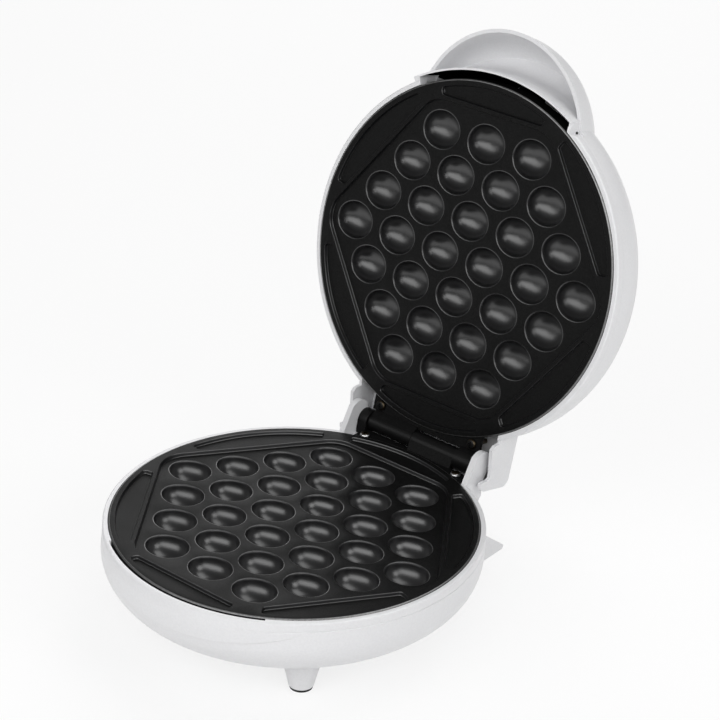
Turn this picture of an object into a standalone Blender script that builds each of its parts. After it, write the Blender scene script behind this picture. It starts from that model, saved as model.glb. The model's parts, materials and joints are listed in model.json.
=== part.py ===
"""Bubble waffle maker, standing open on its feet.

Two white moulded shells carry two matching black cast plates with thirty oval cells each.
An interleaved pin hinge joins them at the back, where a cover on the lid drops over the hinge.
Each half is drawn face up, with its plate's face at zero height, and the lid is then turned over.
"""
import math

import bmesh
import bpy
from mathutils import Matrix, Vector

MM = 0.001

# Clearances and overruns
SEAT_GAP = 0.3 * MM
PIN_CLEARANCE = 0.1 * MM
OVERRUN = 2.0 * MM
MERGE_DISTANCE = 0.003 * MM
SHARP_ANGLE = math.radians(35)

# Cast plate
PLATE_RADIUS = 96.5 * MM
PLATE_DEPTH = 10.0 * MM
PLATE_WEB_DEPTH = 6.2 * MM
PLATE_SKIRT_WALL = 2.6 * MM
PLATE_BEVEL = 0.8 * MM
PLATE_STEPS = 36

# Cells, in straight rows across the plate, as many as its tray holds
CELL_PITCH = 30.0 * MM
CELL_ROW_PITCH = 21.3 * MM
CELL_HALF_WIDTH = 11.8 * MM
CELL_HALF_LENGTH = 10.2 * MM
CELL_DEPTH = 9.0 * MM
CELL_WALL = 2.3 * MM
CELL_STEPS = 9
DOME_STEPS = 6
# Radius and depth down a cell and down the dome behind it, as shares of the cell's and the dome's
CELL_SECTION_SHARES = ((1.0, 0.0), (0.79, 0.64), (0.0, 1.0))
DOME_SECTION_SHARES = ((0.94, 0.34), (0.45, 0.95))

# Shallow six-sided tray round the cells, and the overflow pockets outside it
TRAY_DEPTH = 2.0 * MM
TRAY_MARGIN = 16.2 * MM
TRAY_RIM = 5.0 * MM
TRAY_CORNER_STEPS = 5
POCKET_DEPTH = 2.4 * MM
POCKET_LAND = 2.6 * MM
POCKET_RIM = 3.7 * MM
POCKET_OUTER_RADIUS = PLATE_RADIUS - POCKET_RIM
POCKET_END_RADIUS = 1.7 * MM
POCKET_END_SHARE = 0.45
SIDE_POCKET_HALF_ANGLE = math.radians(23.5)
END_POCKET_HALF_ANGLE = math.radians(21.5)
POCKET_STEPS = 4

# Seats under the plate
HEATER_RADIUS = 62.0 * MM
HEATER_TUBE_RADIUS = 3.3 * MM
HEATER_OPEN_ANGLE = math.radians(16)
HEATER_BEND_RADIUS = 7.0 * MM
HEATER_LEG = 9.5 * MM
HEATER_STEPS = 16
HEATER_TUBE_STEPS = 6
# Turn-down at each end of the tube: how far on, and how far down, as shares of the bend's radius
HEATER_BEND_SHARES = ((0.45, -0.08), (0.82, -0.42), (0.95, -1.0))
HEATER_PIN_RADIUS = 1.4 * MM
HEATER_PIN_LENGTH = 5.0 * MM
POST_RADIUS = 4.2 * MM
POST_CIRCLE_RADIUS = 40.0 * MM
POST_ANGLES = {
    "rear": math.radians(90), "left": math.radians(210), "right": math.radians(330)}
THERMOSTAT_SEAT_RADIUS = 9.5 * MM

# Heat shield
SHIELD_INSET = 12.5 * MM
SHIELD_RADIUS = PLATE_RADIUS - SHIELD_INSET
SHIELD_SHEET = 0.8 * MM
SHIELD_RIM_HEIGHT = 7.0 * MM
SHIELD_RIM_FLARE = 3.0 * MM
SHIELD_CLEARANCE = 3.5 * MM
SHIELD_CENTRE_HOLE = 10.5 * MM
SHIELD_LEG_HOLE = 5.5 * MM
SHIELD_STEPS = 20

# Moulded shells
RIM_WIDTH = 3.0 * MM
SHELL_RADIUS = PLATE_RADIUS + RIM_WIDTH
SHELL_WALL = 2.4 * MM
SHELL_STEPS = 36
SHELL_FLAT_SHARE = 0.3
SHELL_OUTER_STEPS = 6
SHELL_INNER_STEPS = 3
BASE_SHOULDER = 10.0 * MM
BASE_BOWL_DEPTH = 38.6 * MM
BASE_FULLNESS_SHARE = 2.6
BASE_FRONT_SWELL = 2.3 * MM
LID_SHOULDER = 7.0 * MM
LID_BOWL_DEPTH = 40.0 * MM
LID_FULLNESS_SHARE = 3.0
BASE_FORM = (BASE_SHOULDER, BASE_BOWL_DEPTH, BASE_FULLNESS_SHARE)
LID_FORM = (LID_SHOULDER, LID_BOWL_DEPTH, LID_FULLNESS_SHARE)
RIM_DROP = 0.5 * MM
RIM_ROUND = 0.7 * MM
RIM_BAND = 5.0 * MM
GROOVE_DEPTH = 0.5 * MM
LEDGE_WIDTH = 2.6 * MM
LEDGE_HEIGHT = 2.0 * MM

# Front of the base: finger gap beside the plate and the bulging grip lip
FRONT_GAP = 2.3 * MM
FRONT_GAP_RADIUS = PLATE_RADIUS + FRONT_GAP
FRONT_GAP_HALF_ANGLE = math.radians(33)
LIP_REACH = 3.0 * MM
LIP_HALF_ANGLE = math.radians(43)
LIP_DEPTH = 15.5 * MM
LIP_END_DEPTH = 6.0 * MM
LIP_UNDERCUT = 2.2 * MM
LIP_ROOT = 1.2 * MM
LIP_SECTIONS = 10
LIP_FADE_SHARE = 0.7
# Outward reach and depth down the lip's section, as shares of its reach and depth
LIP_SECTION_SHARES = ((0.3, 0.0), (0.8, 0.12), (1.0, 0.4), (0.96, 0.75), (0.72, 1.0))

# Front of the lid: vent gap, thin front wall and the hood that the fingers lift
LID_GAP = 3.5 * MM
LID_GAP_RADIUS = PLATE_RADIUS + LID_GAP
FRONT_WALL = 2.3 * MM
FRONT_WALL_HALF_ANGLE = math.radians(32)
PARTITION_HALF_ANGLE = math.radians(78)
LID_GAP_HALF_ANGLE = math.radians(30)
LID_GAP_DEPTH = 15.0 * MM
FRONT_WALL_DROP = 1.0 * MM
HOOD_SETBACK = 28.7 * MM
HOOD_CENTRE = LID_GAP_RADIUS - HOOD_SETBACK
HOOD_RADIUS = 53.6 * MM
HOOD_WALL = 2.0 * MM
HOOD_RIM_DEPTH = 8.7 * MM
HOOD_SHOULDER = 5.0 * MM
HOOD_RISE = 26.0 * MM
HOOD_RAKE_SHARE = 0.2
HOOD_FULLNESS_SHARE = 3.0
HOOD_STEPS = 32
HOOD_PROFILE_STEPS = 4

# Hinge: height of its axis in the base's frame, and how far the plates stand apart when closed
HINGE_HEIGHT = 2.2 * MM
CLOSED_GAP = 1.0 * MM
OPEN_ANGLE = math.radians(103.8)
PIN_RADIUS = 2.0 * MM
PIN_STEPS = 12
BARREL_RADIUS = 5.0 * MM
KNUCKLE_RADIUS = 6.3 * MM
KNUCKLE_STEPS = 14
ARCH_STEPS = 8
BRACKET_DROP = 1.5 * MM
BRACKET_SHEET = 2.4 * MM
KNUCKLE_CLEARANCE = 0.7 * MM
BARREL_CLEARANCE = 0.45 * MM

# Along the hinge: its two ends, the end knuckles, and the seams between the base's pieces and the lid's
HINGE_REACH = 41.0 * MM
LEFT_KNUCKLE_LENGTH = 6.0 * MM
RIGHT_KNUCKLE_LENGTH = 16.0 * MM
LEFT_SEAM = -HINGE_REACH + LEFT_KNUCKLE_LENGTH
RIGHT_SEAM = HINGE_REACH - RIGHT_KNUCKLE_LENGTH
MIDDLE_SEAM = (LEFT_SEAM + RIGHT_SEAM) / 2
BRACKET_INSET = 4.0 * MM
BRACKET_HALF_WIDTH = HINGE_REACH - BRACKET_INSET

# Hinge screws, behind the leaves' arched edge, and the hinge axis, as far back as the leaves need
HINGE_SCREW_INSET = 5.2 * MM
HINGE_SCREW_SIDE = BRACKET_HALF_WIDTH - HINGE_SCREW_INSET
HINGE_SCREW_EDGE = 3.4 * MM
SCREW_HEAD_RADIUS = 2.9 * MM
SCREW_HEAD_CLEARANCE = 0.6 * MM
LEAF_NECK = 1.6 * MM
LEAF_ARCH_RADIUS = PLATE_RADIUS + SEAT_GAP
LEAF_ARCH_BACK = math.sqrt(LEAF_ARCH_RADIUS ** 2 - HINGE_SCREW_SIDE ** 2)
HINGE_SCREW_BACK = LEAF_ARCH_BACK + HINGE_SCREW_EDGE
LEAF_BACK = max(
    LEAF_ARCH_RADIUS + LEAF_NECK, HINGE_SCREW_BACK + SCREW_HEAD_RADIUS + SCREW_HEAD_CLEARANCE)
HINGE_BACK = LEAF_BACK + KNUCKLE_CLEARANCE + KNUCKLE_RADIUS

# The plate's ears under the brackets, and the hinge screws' other sizes
EAR_RADIUS = 3.4 * MM
EAR_SHEET = 2.7 * MM
EAR_CLEARANCE = 0.8 * MM
SCREW_HEAD_HEIGHT = 1.6 * MM
HEAD_CROWN_SHARE = 0.6
SCREW_SHANK_RADIUS = 1.4 * MM
SCREW_STEPS = 8
HINGE_SCREW_LENGTH = 13.0 * MM

# Hinge shelf and lugs at the back of the base
SHELF_SETBACK = 3.6 * MM
SHELF_BACK = HINGE_BACK - SHELF_SETBACK
LUG_THICKNESS = 3.3 * MM
SHELF_HALF_WIDTH = HINGE_REACH + SEAT_GAP + LUG_THICKNESS
SHELF_BITE = 19.5 * MM
SHELF_ROOT = SHELL_RADIUS - SHELF_BITE
SHELF_HEIGHT = 8.0 * MM
SHELF_TAPER = 9.0 * MM
LUG_NOSE_RADIUS = 8.6 * MM
LUG_NOSE_FORWARD = 4.6 * MM
LUG_NOSE_RISE = 3.8 * MM
LUG_LENGTH = 17.4 * MM
LUG_FOOT_BACK = HINGE_BACK - LUG_LENGTH
LUG_NOSE_START_ANGLE = math.radians(-8)
LUG_NOSE_SWEEP_ANGLE = math.radians(138)
LUG_NOSE_STEPS = 8

# Cover at the back of the lid
COVER_WALL = 2.0 * MM
COVER_SIDE_CLEARANCE = 3.0 * MM
COVER_HALF_WIDTH = SHELF_HALF_WIDTH + COVER_SIDE_CLEARANCE + COVER_WALL
COVER_REACH = 9.6 * MM
COVER_BACK = HINGE_BACK + COVER_REACH
COVER_TOP_DEPTH = 17.0 * MM
COVER_SKIRT_RISE = 0.2 * MM
COVER_TAB_RISE = 9.3 * MM
COVER_TAB_SWING = 17.2 * MM
COVER_ROUND = 5.0 * MM
COVER_BITE = 21.5 * MM
COVER_ROOT = SHELL_RADIUS - COVER_BITE
COVER_ROUND_STEPS = 4

# Feet and heels: heights over the ground, and places in from the shell's edge
FOOT_CLEARANCE = 7.4 * MM
FOOT_HEIGHT = BASE_SHOULDER + BASE_BOWL_DEPTH + FOOT_CLEARANCE
FOOT_TOP_RADIUS = 11.6 * MM
FOOT_MIDDLE_RADIUS = 9.7 * MM
FOOT_BOTTOM_RADIUS = 6.5 * MM
FOOT_ROOT_RISE = 34.0 * MM
FOOT_SHOULDER_RISE = 26.0 * MM
FOOT_MIDDLE_RISE = 15.0 * MM
FRONT_FOOT_INSET = 27.9 * MM
FRONT_FOOT_ANGLE = math.radians(45.1)
REAR_FOOT_INSET = 13.9 * MM
REAR_FOOT_ANGLE = math.radians(36.3)
FOOT_STEPS = 10
PAD_RADIUS = 6.0 * MM
PAD_THICKNESS = 2.0 * MM
HEEL_ASIDE = 1.9 * MM
HEEL_SIDE = COVER_HALF_WIDTH + HEEL_ASIDE
HEEL_THICKNESS = 6.5 * MM
HEEL_SETBACK = 1.5 * MM
HEEL_TIP_BACK = COVER_BACK - HEEL_SETBACK
HEEL_TIP_RISE = 13.0 * MM
HEEL_TIP_HEIGHT = 1.6 * MM
HEEL_TOP_DEPTH = 15.5 * MM
HEEL_UNDER_DROP = 3.4 * MM
HEEL_BITE = 27.5 * MM
HEEL_ROOT = SHELL_RADIUS - HEEL_BITE
HEEL_TOP_LENGTH = 4.0 * MM

# Long screws from under the base
LONG_SCREW_HEAD_RADIUS = 3.0 * MM
LONG_SCREW_SHANK_RADIUS = 1.5 * MM
BOSS_RADIUS = 5.6 * MM
BOSS_RECESS_RADIUS = 3.6 * MM
BOSS_RECESS_ROOF = 3.0 * MM
POST_BITE = 9.0 * MM
SHORT_SCREW_BITE = 6.0 * MM

# Thermostat, fuse and terminal block in the base
THERMOSTAT_RADIUS = 8.0 * MM
THERMOSTAT_HEIGHT = 9.0 * MM
THERMOSTAT_FLANGE = 1.2 * MM
BLADE_WIDTH = 6.3 * MM
BLADE_THICKNESS = 0.8 * MM
BLADE_LENGTH = 7.0 * MM
BLADE_OFFSET = 4.5 * MM
FUSE_RADIUS = 2.0 * MM
FUSE_LENGTH = 11.0 * MM
FUSE_FORWARD = 28.0 * MM
FUSE_LEAD_RADIUS = 0.5 * MM
FUSE_LEAD_LENGTH = 8.0 * MM
CLIP_WIDTH = 6.0 * MM
CLIP_SHEET = 0.8 * MM
CLIP_FOOT = 5.0 * MM
BLOCK_WIDTH = 28.0 * MM
BLOCK_LENGTH = 13.0 * MM
BLOCK_HEIGHT = 11.0 * MM
BLOCK_BACK = 20.0 * MM
BLOCK_WELL_RADIUS = 2.4 * MM
BLOCK_WELL_DEPTH = 5.0 * MM
BLOCK_WELL_COUNT = 3

# Gland in the back wall of the base, where a mains lead leaves
GLAND_DEPTH = 30.5 * MM
GLAND_BOSS_RADIUS = 9.0 * MM
GLAND_SETBACK = 2.0 * MM
GLAND_BOSS_BACK = SHELL_RADIUS - GLAND_SETBACK
GLAND_LENGTH = 13.5 * MM
GLAND_ROOT = GLAND_BOSS_BACK - GLAND_LENGTH
GLAND_HOLE_RADIUS = 5.8 * MM
GLAND_FLANGE_RADIUS = 7.6 * MM
GLAND_FLANGE = 1.8 * MM
GLAND_BORE_RADIUS = 3.6 * MM
GLAND_STEPS = 12

# Indicator lamps in the top of the lid
LAMP_SIDE = 9.0 * MM
LAMP_FORWARD = 42.0 * MM
LENS_RADIUS = 4.0 * MM
LENS_FLANGE_RADIUS = 5.4 * MM
LENS_FLANGE = 1.2 * MM
LENS_PROUD = 1.0 * MM
LENS_CROWN_SHARE = 0.6
LENS_STEPS = 12
LAMP_RADIUS = 2.6 * MM
LAMP_LENGTH = 5.5 * MM
HOLDER_LENGTH = 12.0 * MM
HOLDER_SHEET = 1.6 * MM
HOLDER_MARGIN = 1.0 * MM
HOLDER_POST_RADIUS = 2.2 * MM

# Colours
WHITE = (0.86, 0.86, 0.87)
BLACK_COATING = (0.016, 0.016, 0.018)
BLACK_PAINT = (0.012, 0.012, 0.013)
STEEL = (0.62, 0.62, 0.63)
ALUMINIUM_SHEET = (0.70, 0.70, 0.70)
RUBBER = (0.02, 0.02, 0.02)
CERAMIC = (0.78, 0.74, 0.66)
NYLON = (0.80, 0.80, 0.76)
RED = (0.55, 0.02, 0.02)
GREEN = (0.03, 0.40, 0.06)
GLASS = (0.85, 0.80, 0.75)


def clear_scene():
    for obj in list(bpy.data.objects):
        bpy.data.objects.remove(obj, do_unlink=True)


def make_empty(name, parent=None, location=(0, 0, 0), turn=0):
    """An empty that carries a group of pieces."""
    empty = bpy.data.objects.new(name, None)
    bpy.context.scene.collection.objects.link(empty)
    empty.parent = parent
    empty.location = location
    empty.rotation_euler.x = turn
    return empty


def make_material(name, colour, roughness, metallic):
    material = bpy.data.materials.new(name)
    material.use_nodes = True
    shader = material.node_tree.nodes["Principled BSDF"]
    shader.inputs["Base Color"].default_value = (*colour, 1)
    shader.inputs["Roughness"].default_value = roughness
    shader.inputs["Metallic"].default_value = metallic
    material.diffuse_color = (*colour, 1)
    return material


def make_object(name, shape, half):
    """Turn a bmesh into an object in the frame of one half of the appliance."""
    bmesh.ops.recalc_face_normals(shape, faces=shape.faces)
    mesh = bpy.data.meshes.new(name)
    shape.to_mesh(mesh)
    shape.free()
    mesh.shade_smooth()
    mesh.set_sharp_from_angle(angle=SHARP_ANGLE)
    obj = bpy.data.objects.new(name, mesh)
    bpy.context.scene.collection.objects.link(obj)
    obj.parent = half["parent"]
    obj.matrix_basis = half["matrix"]
    return obj


def make_piece(name, shape, half, colour, roughness, metallic=0.0):
    obj = make_object(name, shape, half)
    obj.data.materials.append(make_material(name, colour, roughness, metallic))
    return obj


def make_guide(name, shape, half):
    """A hidden body for a Boolean to use."""
    guide = make_object(name, shape, half)
    guide.hide_render = True
    guide.display_type = "WIRE"
    return guide


def add_boolean(target, guide, operation, label):
    modifier = target.modifiers.new(label, "BOOLEAN")
    modifier.operation = operation
    modifier.solver = "EXACT"
    modifier.object = guide


def combine(target, shape, half, operation, label):
    """Add a shape to a target, or cut it out, with an exact Boolean."""
    add_boolean(target, make_guide(target.name + "_" + label, shape, half), operation, label)


def circle(radius, steps, centre=(0, 0), start=0.0, sweep=2 * math.pi):
    """Points round a circle, or round an arc with both of its ends."""
    full = abs(sweep) > 2 * math.pi - SHARP_ANGLE
    count = steps if full else steps + 1
    points = []
    for index in range(count):
        angle = start + sweep * index / steps
        points.append((centre[0] + radius * math.cos(angle), centre[1] + radius * math.sin(angle)))
    return points


def add_prism(shape, outline, low, high, turn=None, round_ends=0.0, ends=()):
    """Extrude a flat outline from one height to another, and round the upright edges listed."""
    turn = turn or Matrix.Identity(3)
    bottom = [shape.verts.new(turn @ Vector((x, y, low))) for x, y in outline]
    face = shape.faces.new(bottom)
    made = bmesh.ops.extrude_face_region(shape, geom=[face])["geom"]
    top = [vert for vert in made if isinstance(vert, bmesh.types.BMVert)]
    bmesh.ops.translate(shape, verts=top, vec=turn @ Vector((0, 0, high - low)))
    if round_ends:
        upright = []
        for index in ends:
            vert = bottom[index]
            upright += [edge for edge in vert.link_edges if edge.other_vert(vert) in top]
        bmesh.ops.bevel(
            shape, geom=upright, offset=round_ends, offset_type="OFFSET", segments=2,
            profile=0.5, affect="EDGES")
    return shape


def add_bar(shape, outline, low, high):
    """Extrude an outline drawn in Y and Z along X."""
    along_x = Matrix(((0, 0, 1), (1, 0, 0), (0, 1, 0)))
    return add_prism(shape, outline, low, high, turn=along_x)


def add_box(shape, x_span, y_span, z_span):
    outline = [(x_span[0], y_span[0]), (x_span[1], y_span[0]), (x_span[1], y_span[1]), (x_span[0], y_span[1])]
    return add_prism(shape, outline, z_span[0], z_span[1])


def add_drum(shape, radius, low, high, centre=(0, 0), steps=SCREW_STEPS, low_radius=None):
    """A round bar along Z, which may taper."""
    bmesh.ops.create_cone(
        shape, cap_ends=True, cap_tris=False, segments=steps, depth=high - low,
        radius1=radius if low_radius is None else low_radius, radius2=radius,
        matrix=Matrix.Translation((centre[0], centre[1], (low + high) / 2)))
    return shape


def add_turned(shape, profile, steps, centre=(0, 0), stretch=1.0):
    """Spin a profile of radii and heights round Z. It starts and ends on the axis."""
    verts = [shape.verts.new((radius, 0, height)) for radius, height in profile]
    edges = [shape.edges.new(pair) for pair in zip(verts, verts[1:])]
    bmesh.ops.spin(
        shape, geom=verts + edges, cent=(0, 0, 0), axis=(0, 0, 1), dvec=(0, 0, 0),
        angle=2 * math.pi, steps=steps, use_merge=False, use_duplicate=False)
    bmesh.ops.remove_doubles(shape, verts=shape.verts, dist=MERGE_DISTANCE)
    flat = [edge for edge in shape.edges if len(edge.link_faces) == 2]
    bmesh.ops.dissolve_limit(shape, angle_limit=math.radians(0.5), verts=[], edges=flat)
    for vert in shape.verts:
        vert.co.x = vert.co.x + centre[0]
        vert.co.y = vert.co.y * stretch + centre[1]
    return shape


def merge(target, source):
    """Put a copy of one bmesh beside what another already holds."""
    mesh = bpy.data.meshes.new("carrier")
    source.to_mesh(mesh)
    source.free()
    target.from_mesh(mesh)
    bpy.data.meshes.remove(mesh)
    return target


def rounded_profile(radius, shoulder, depth, power, flat_share, count):
    """Points down a full, rounded bowl from its shoulder to its flat floor."""
    last = math.acos(flat_share ** (power / 2))
    points = []
    for index in range(count + 1):
        angle = last * index / count
        points.append((
            radius * math.cos(angle) ** (2 / power),
            -shoulder - depth * math.sin(angle) ** (2 / power)))
    return points


def cells_in_rows():
    """How many cells each row has, in a six-sided pattern that fills the plate inside its rim."""
    room = PLATE_RADIUS - TRAY_MARGIN - TRAY_RIM
    widest = 1 + int(2 * room / CELL_PITCH)
    rows = [widest]
    while len(rows) <= widest // 2:
        cells = widest - len(rows)
        if math.hypot((cells - 1) / 2 * CELL_PITCH, len(rows) * CELL_ROW_PITCH) > room:
            break
        rows.append(cells)
    return rows[:0:-1] + rows


def cell_centres():
    rows = cells_in_rows()
    for row, cells in enumerate(rows):
        for cell in range(cells):
            yield ((cell - (cells - 1) / 2) * CELL_PITCH, (row - (len(rows) - 1) / 2) * CELL_ROW_PITCH)


def tray_corners():
    """Outermost cell centres at the six corners of the pattern, anticlockwise from +X."""
    rows = cells_in_rows()
    widest = (max(rows) - 1) / 2 * CELL_PITCH
    narrow = (rows[0] - 1) / 2 * CELL_PITCH
    last_row = (len(rows) - 1) / 2 * CELL_ROW_PITCH
    return [
        (widest, 0), (narrow, last_row), (-narrow, last_row),
        (-widest, 0), (-narrow, -last_row), (narrow, -last_row)]


def side_normals():
    """Outward angle of each side of the pattern, and its distance from the plate's centre."""
    corners = tray_corners()
    sides = []
    for start, end in zip(corners, corners[1:] + corners[:1]):
        angle = math.atan2(end[1] - start[1], end[0] - start[0]) - math.pi / 2
        reach = start[0] * math.cos(angle) + start[1] * math.sin(angle)
        sides.append((angle, reach))
    return sides


def tray_outline():
    """The hull of the cells' outer ring, with a wide round corner at each of its six ends."""
    corners = tray_corners()
    sides = side_normals()
    outline = []
    for index, corner in enumerate(corners):
        before = sides[index - 1][0]
        sweep = (sides[index][0] - before) % (2 * math.pi)
        outline += circle(TRAY_MARGIN, TRAY_CORNER_STEPS, corner, before, sweep)
    return outline


def pocket_outline(angle, reach):
    """A segment between the tray's land and the plate's rim, and the radius of its rounded ends."""
    inner = reach + TRAY_MARGIN + POCKET_LAND
    faces_end = abs(math.cos(angle)) < abs(math.sin(SIDE_POCKET_HALF_ANGLE))
    half_angle = END_POCKET_HALF_ANGLE if faces_end else SIDE_POCKET_HALF_ANGLE
    arc = circle(POCKET_OUTER_RADIUS, POCKET_STEPS, (0, 0), angle - half_angle, 2 * half_angle)
    side = inner * math.tan(half_angle)
    along = Vector((math.cos(angle), math.sin(angle)))
    across = Vector((-math.sin(angle), math.cos(angle)))
    chord = [along * inner + across * side, along * inner - across * side]
    end_side = POCKET_OUTER_RADIUS - inner / math.cos(half_angle)
    return arc + [tuple(point) for point in chord], min(POCKET_END_RADIUS, POCKET_END_SHARE * end_side)


def make_plate(name, half):
    """Cast plate: round body with a skirt, thirty cells, tray, pockets, and seats underneath."""
    shape = bmesh.new()
    add_turned(shape, [
        (0, 0),
        (PLATE_RADIUS - PLATE_BEVEL, 0),
        (PLATE_RADIUS, -PLATE_BEVEL),
        (PLATE_RADIUS, -PLATE_DEPTH),
        (PLATE_RADIUS - PLATE_SKIRT_WALL, -PLATE_DEPTH),
        (PLATE_RADIUS - PLATE_SKIRT_WALL, -PLATE_WEB_DEPTH),
        (0, -PLATE_WEB_DEPTH)], PLATE_STEPS)
    plate = make_piece(name, shape, half, BLACK_COATING, 0.42, 0.0)

    domes = bmesh.new()
    for centre in cell_centres():
        depth = CELL_DEPTH + CELL_WALL
        width = CELL_HALF_WIDTH + CELL_WALL
        stretch = (CELL_HALF_LENGTH + CELL_WALL) / width
        profile = [(out * width, -TRAY_DEPTH - down * depth) for out, down in DOME_SECTION_SHARES]
        profile = [(0, profile[0][1])] + profile + [(0, profile[-1][1])]
        merge(domes, add_turned(bmesh.new(), profile, DOME_STEPS, centre, stretch))
    combine(plate, domes, half, "UNION", "domes")

    seats = bmesh.new()
    add_drum(seats, THERMOSTAT_SEAT_RADIUS, -heater_top(), -PLATE_WEB_DEPTH + OVERRUN, steps=FOOT_STEPS)
    for centre in post_centres():
        add_drum(seats, POST_RADIUS, -post_end(), -PLATE_WEB_DEPTH + OVERRUN, centre)
    combine(plate, seats, half, "UNION", "seats")

    ears = bmesh.new()
    root = math.sqrt(PLATE_RADIUS ** 2 - (HINGE_SCREW_SIDE + EAR_RADIUS) ** 2) - PLATE_SKIRT_WALL / 2
    for centre in hinge_screw_centres().values():
        outline = circle(EAR_RADIUS, SCREW_STEPS // 2, centre, 0, math.pi)
        outline += [(centre[0] - EAR_RADIUS, root), (centre[0] + EAR_RADIUS, root)]
        add_prism(ears, outline, -ear_top() - EAR_SHEET, -ear_top())
    combine(plate, ears, half, "UNION", "ears")

    recess = add_prism(bmesh.new(), tray_outline(), -TRAY_DEPTH, OVERRUN)
    combine(plate, recess, half, "DIFFERENCE", "tray")
    pockets = bmesh.new()
    for angle, reach in side_normals():
        outline, end_radius = pocket_outline(angle, reach)
        count = len(outline)
        ends = (0, POCKET_STEPS, POCKET_STEPS + 1, count - 1)
        pocket = add_prism(
            bmesh.new(), outline, -POCKET_DEPTH, OVERRUN, round_ends=end_radius, ends=ends)
        merge(pockets, pocket)
    combine(plate, pockets, half, "DIFFERENCE", "pockets")

    cells = bmesh.new()
    for centre in cell_centres():
        stretch = CELL_HALF_LENGTH / CELL_HALF_WIDTH
        profile = [(0, -TRAY_DEPTH + OVERRUN), (CELL_HALF_WIDTH, -TRAY_DEPTH + OVERRUN)]
        for out, down in CELL_SECTION_SHARES:
            profile.append((out * CELL_HALF_WIDTH, -TRAY_DEPTH - down * CELL_DEPTH))
        merge(cells, add_turned(bmesh.new(), profile, CELL_STEPS, centre, stretch))
    combine(plate, cells, half, "DIFFERENCE", "cells")

    holes = bmesh.new()
    for centre in post_centres():
        hole = LONG_SCREW_SHANK_RADIUS + SEAT_GAP
        add_drum(holes, hole, -post_end() - OVERRUN, -post_end() + POST_BITE + OVERRUN, centre)
    for centre in hinge_screw_centres().values():
        hole = SCREW_SHANK_RADIUS + SEAT_GAP
        add_drum(holes, hole, -ear_top() - EAR_SHEET - OVERRUN, -ear_top() + OVERRUN, centre)
    combine(plate, holes, half, "DIFFERENCE", "holes")
    return plate


def post_centres():
    return [
        (POST_CIRCLE_RADIUS * math.cos(angle), POST_CIRCLE_RADIUS * math.sin(angle))
        for angle in POST_ANGLES.values()]


def hinge_screw_centres():
    return {
        "left": (-HINGE_SCREW_SIDE, HINGE_SCREW_BACK),
        "right": (HINGE_SCREW_SIDE, HINGE_SCREW_BACK)}


def heater_top():
    """Depth of the domes' flat tops, which the heater and the thermostat's seat reach."""
    return TRAY_DEPTH + (CELL_DEPTH + CELL_WALL) * DOME_SECTION_SHARES[-1][1]


def shield_top():
    return heater_top() + SEAT_GAP + 2 * HEATER_TUBE_RADIUS + SHIELD_CLEARANCE


def post_end():
    return shield_top() - SEAT_GAP


def boss_end():
    return shield_top() + SHIELD_SHEET + SEAT_GAP


def bracket_underside():
    return BRACKET_DROP + BRACKET_SHEET


def ear_top():
    return bracket_underside() + SEAT_GAP


def shelf_top():
    """Depth of the hinge shelf's top, just under the bracket."""
    return bracket_underside() + SEAT_GAP


def ear_seat():
    return ear_top() + EAR_SHEET + SEAT_GAP


def make_heater(name, half):
    """Sheathed tube bent to a ring, with both ends turned down through the shield."""
    depth = -heater_top() - SEAT_GAP - HEATER_TUBE_RADIUS
    start = math.pi / 2 + HEATER_OPEN_ANGLE
    sweep = 2 * math.pi - 2 * HEATER_OPEN_ANGLE
    arc = circle(HEATER_RADIUS, HEATER_STEPS, (0, 0), start, sweep)
    route = [(x, y, depth) for x, y in arc]
    first = []
    last = []
    for along, down in HEATER_BEND_SHARES:
        drop = down * HEATER_BEND_RADIUS
        step = along * HEATER_BEND_RADIUS / HEATER_RADIUS
        for angle, points in ((start - step, first), (start + sweep + step, last)):
            points.append((HEATER_RADIUS * math.cos(angle), HEATER_RADIUS * math.sin(angle), depth + drop))
    for points in (first, last):
        end = points[-1]
        points.append((end[0], end[1], end[2] - HEATER_LEG + HEATER_BEND_RADIUS))
    route = first[::-1] + route + last
    shape = tube_along(route, HEATER_TUBE_RADIUS, HEATER_TUBE_STEPS)
    heater = make_piece(name, shape, half, STEEL, 0.45, 1.0)
    pins = bmesh.new()
    for end in (route[0], route[-1]):
        add_drum(
            pins, HEATER_PIN_RADIUS, end[2] - HEATER_PIN_LENGTH, end[2] + OVERRUN, end[:2], HEATER_TUBE_STEPS)
    combine(heater, pins, half, "UNION", "pins")
    return heater


def tube_along(route, radius, sides):
    """A round tube through a list of points, closed at both ends."""
    points = [Vector(point) for point in route]
    shape = bmesh.new()
    rings = []
    side = Vector((0, 1, 0))
    for index, point in enumerate(points):
        before = points[max(index - 1, 0)]
        after = points[min(index + 1, len(points) - 1)]
        along = (after - before).normalized()
        side = (side - side.dot(along) * along).normalized()
        across = along.cross(side)
        ring = []
        for x, y in circle(radius, sides):
            ring.append(shape.verts.new(point + side * x + across * y))
        rings.append(ring)
    for ring, following in zip(rings, rings[1:]):
        for index in range(sides):
            after = (index + 1) % sides
            shape.faces.new((ring[index], ring[after], following[after], following[index]))
    shape.faces.new(rings[0])
    shape.faces.new(rings[-1][::-1])
    return shape


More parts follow.
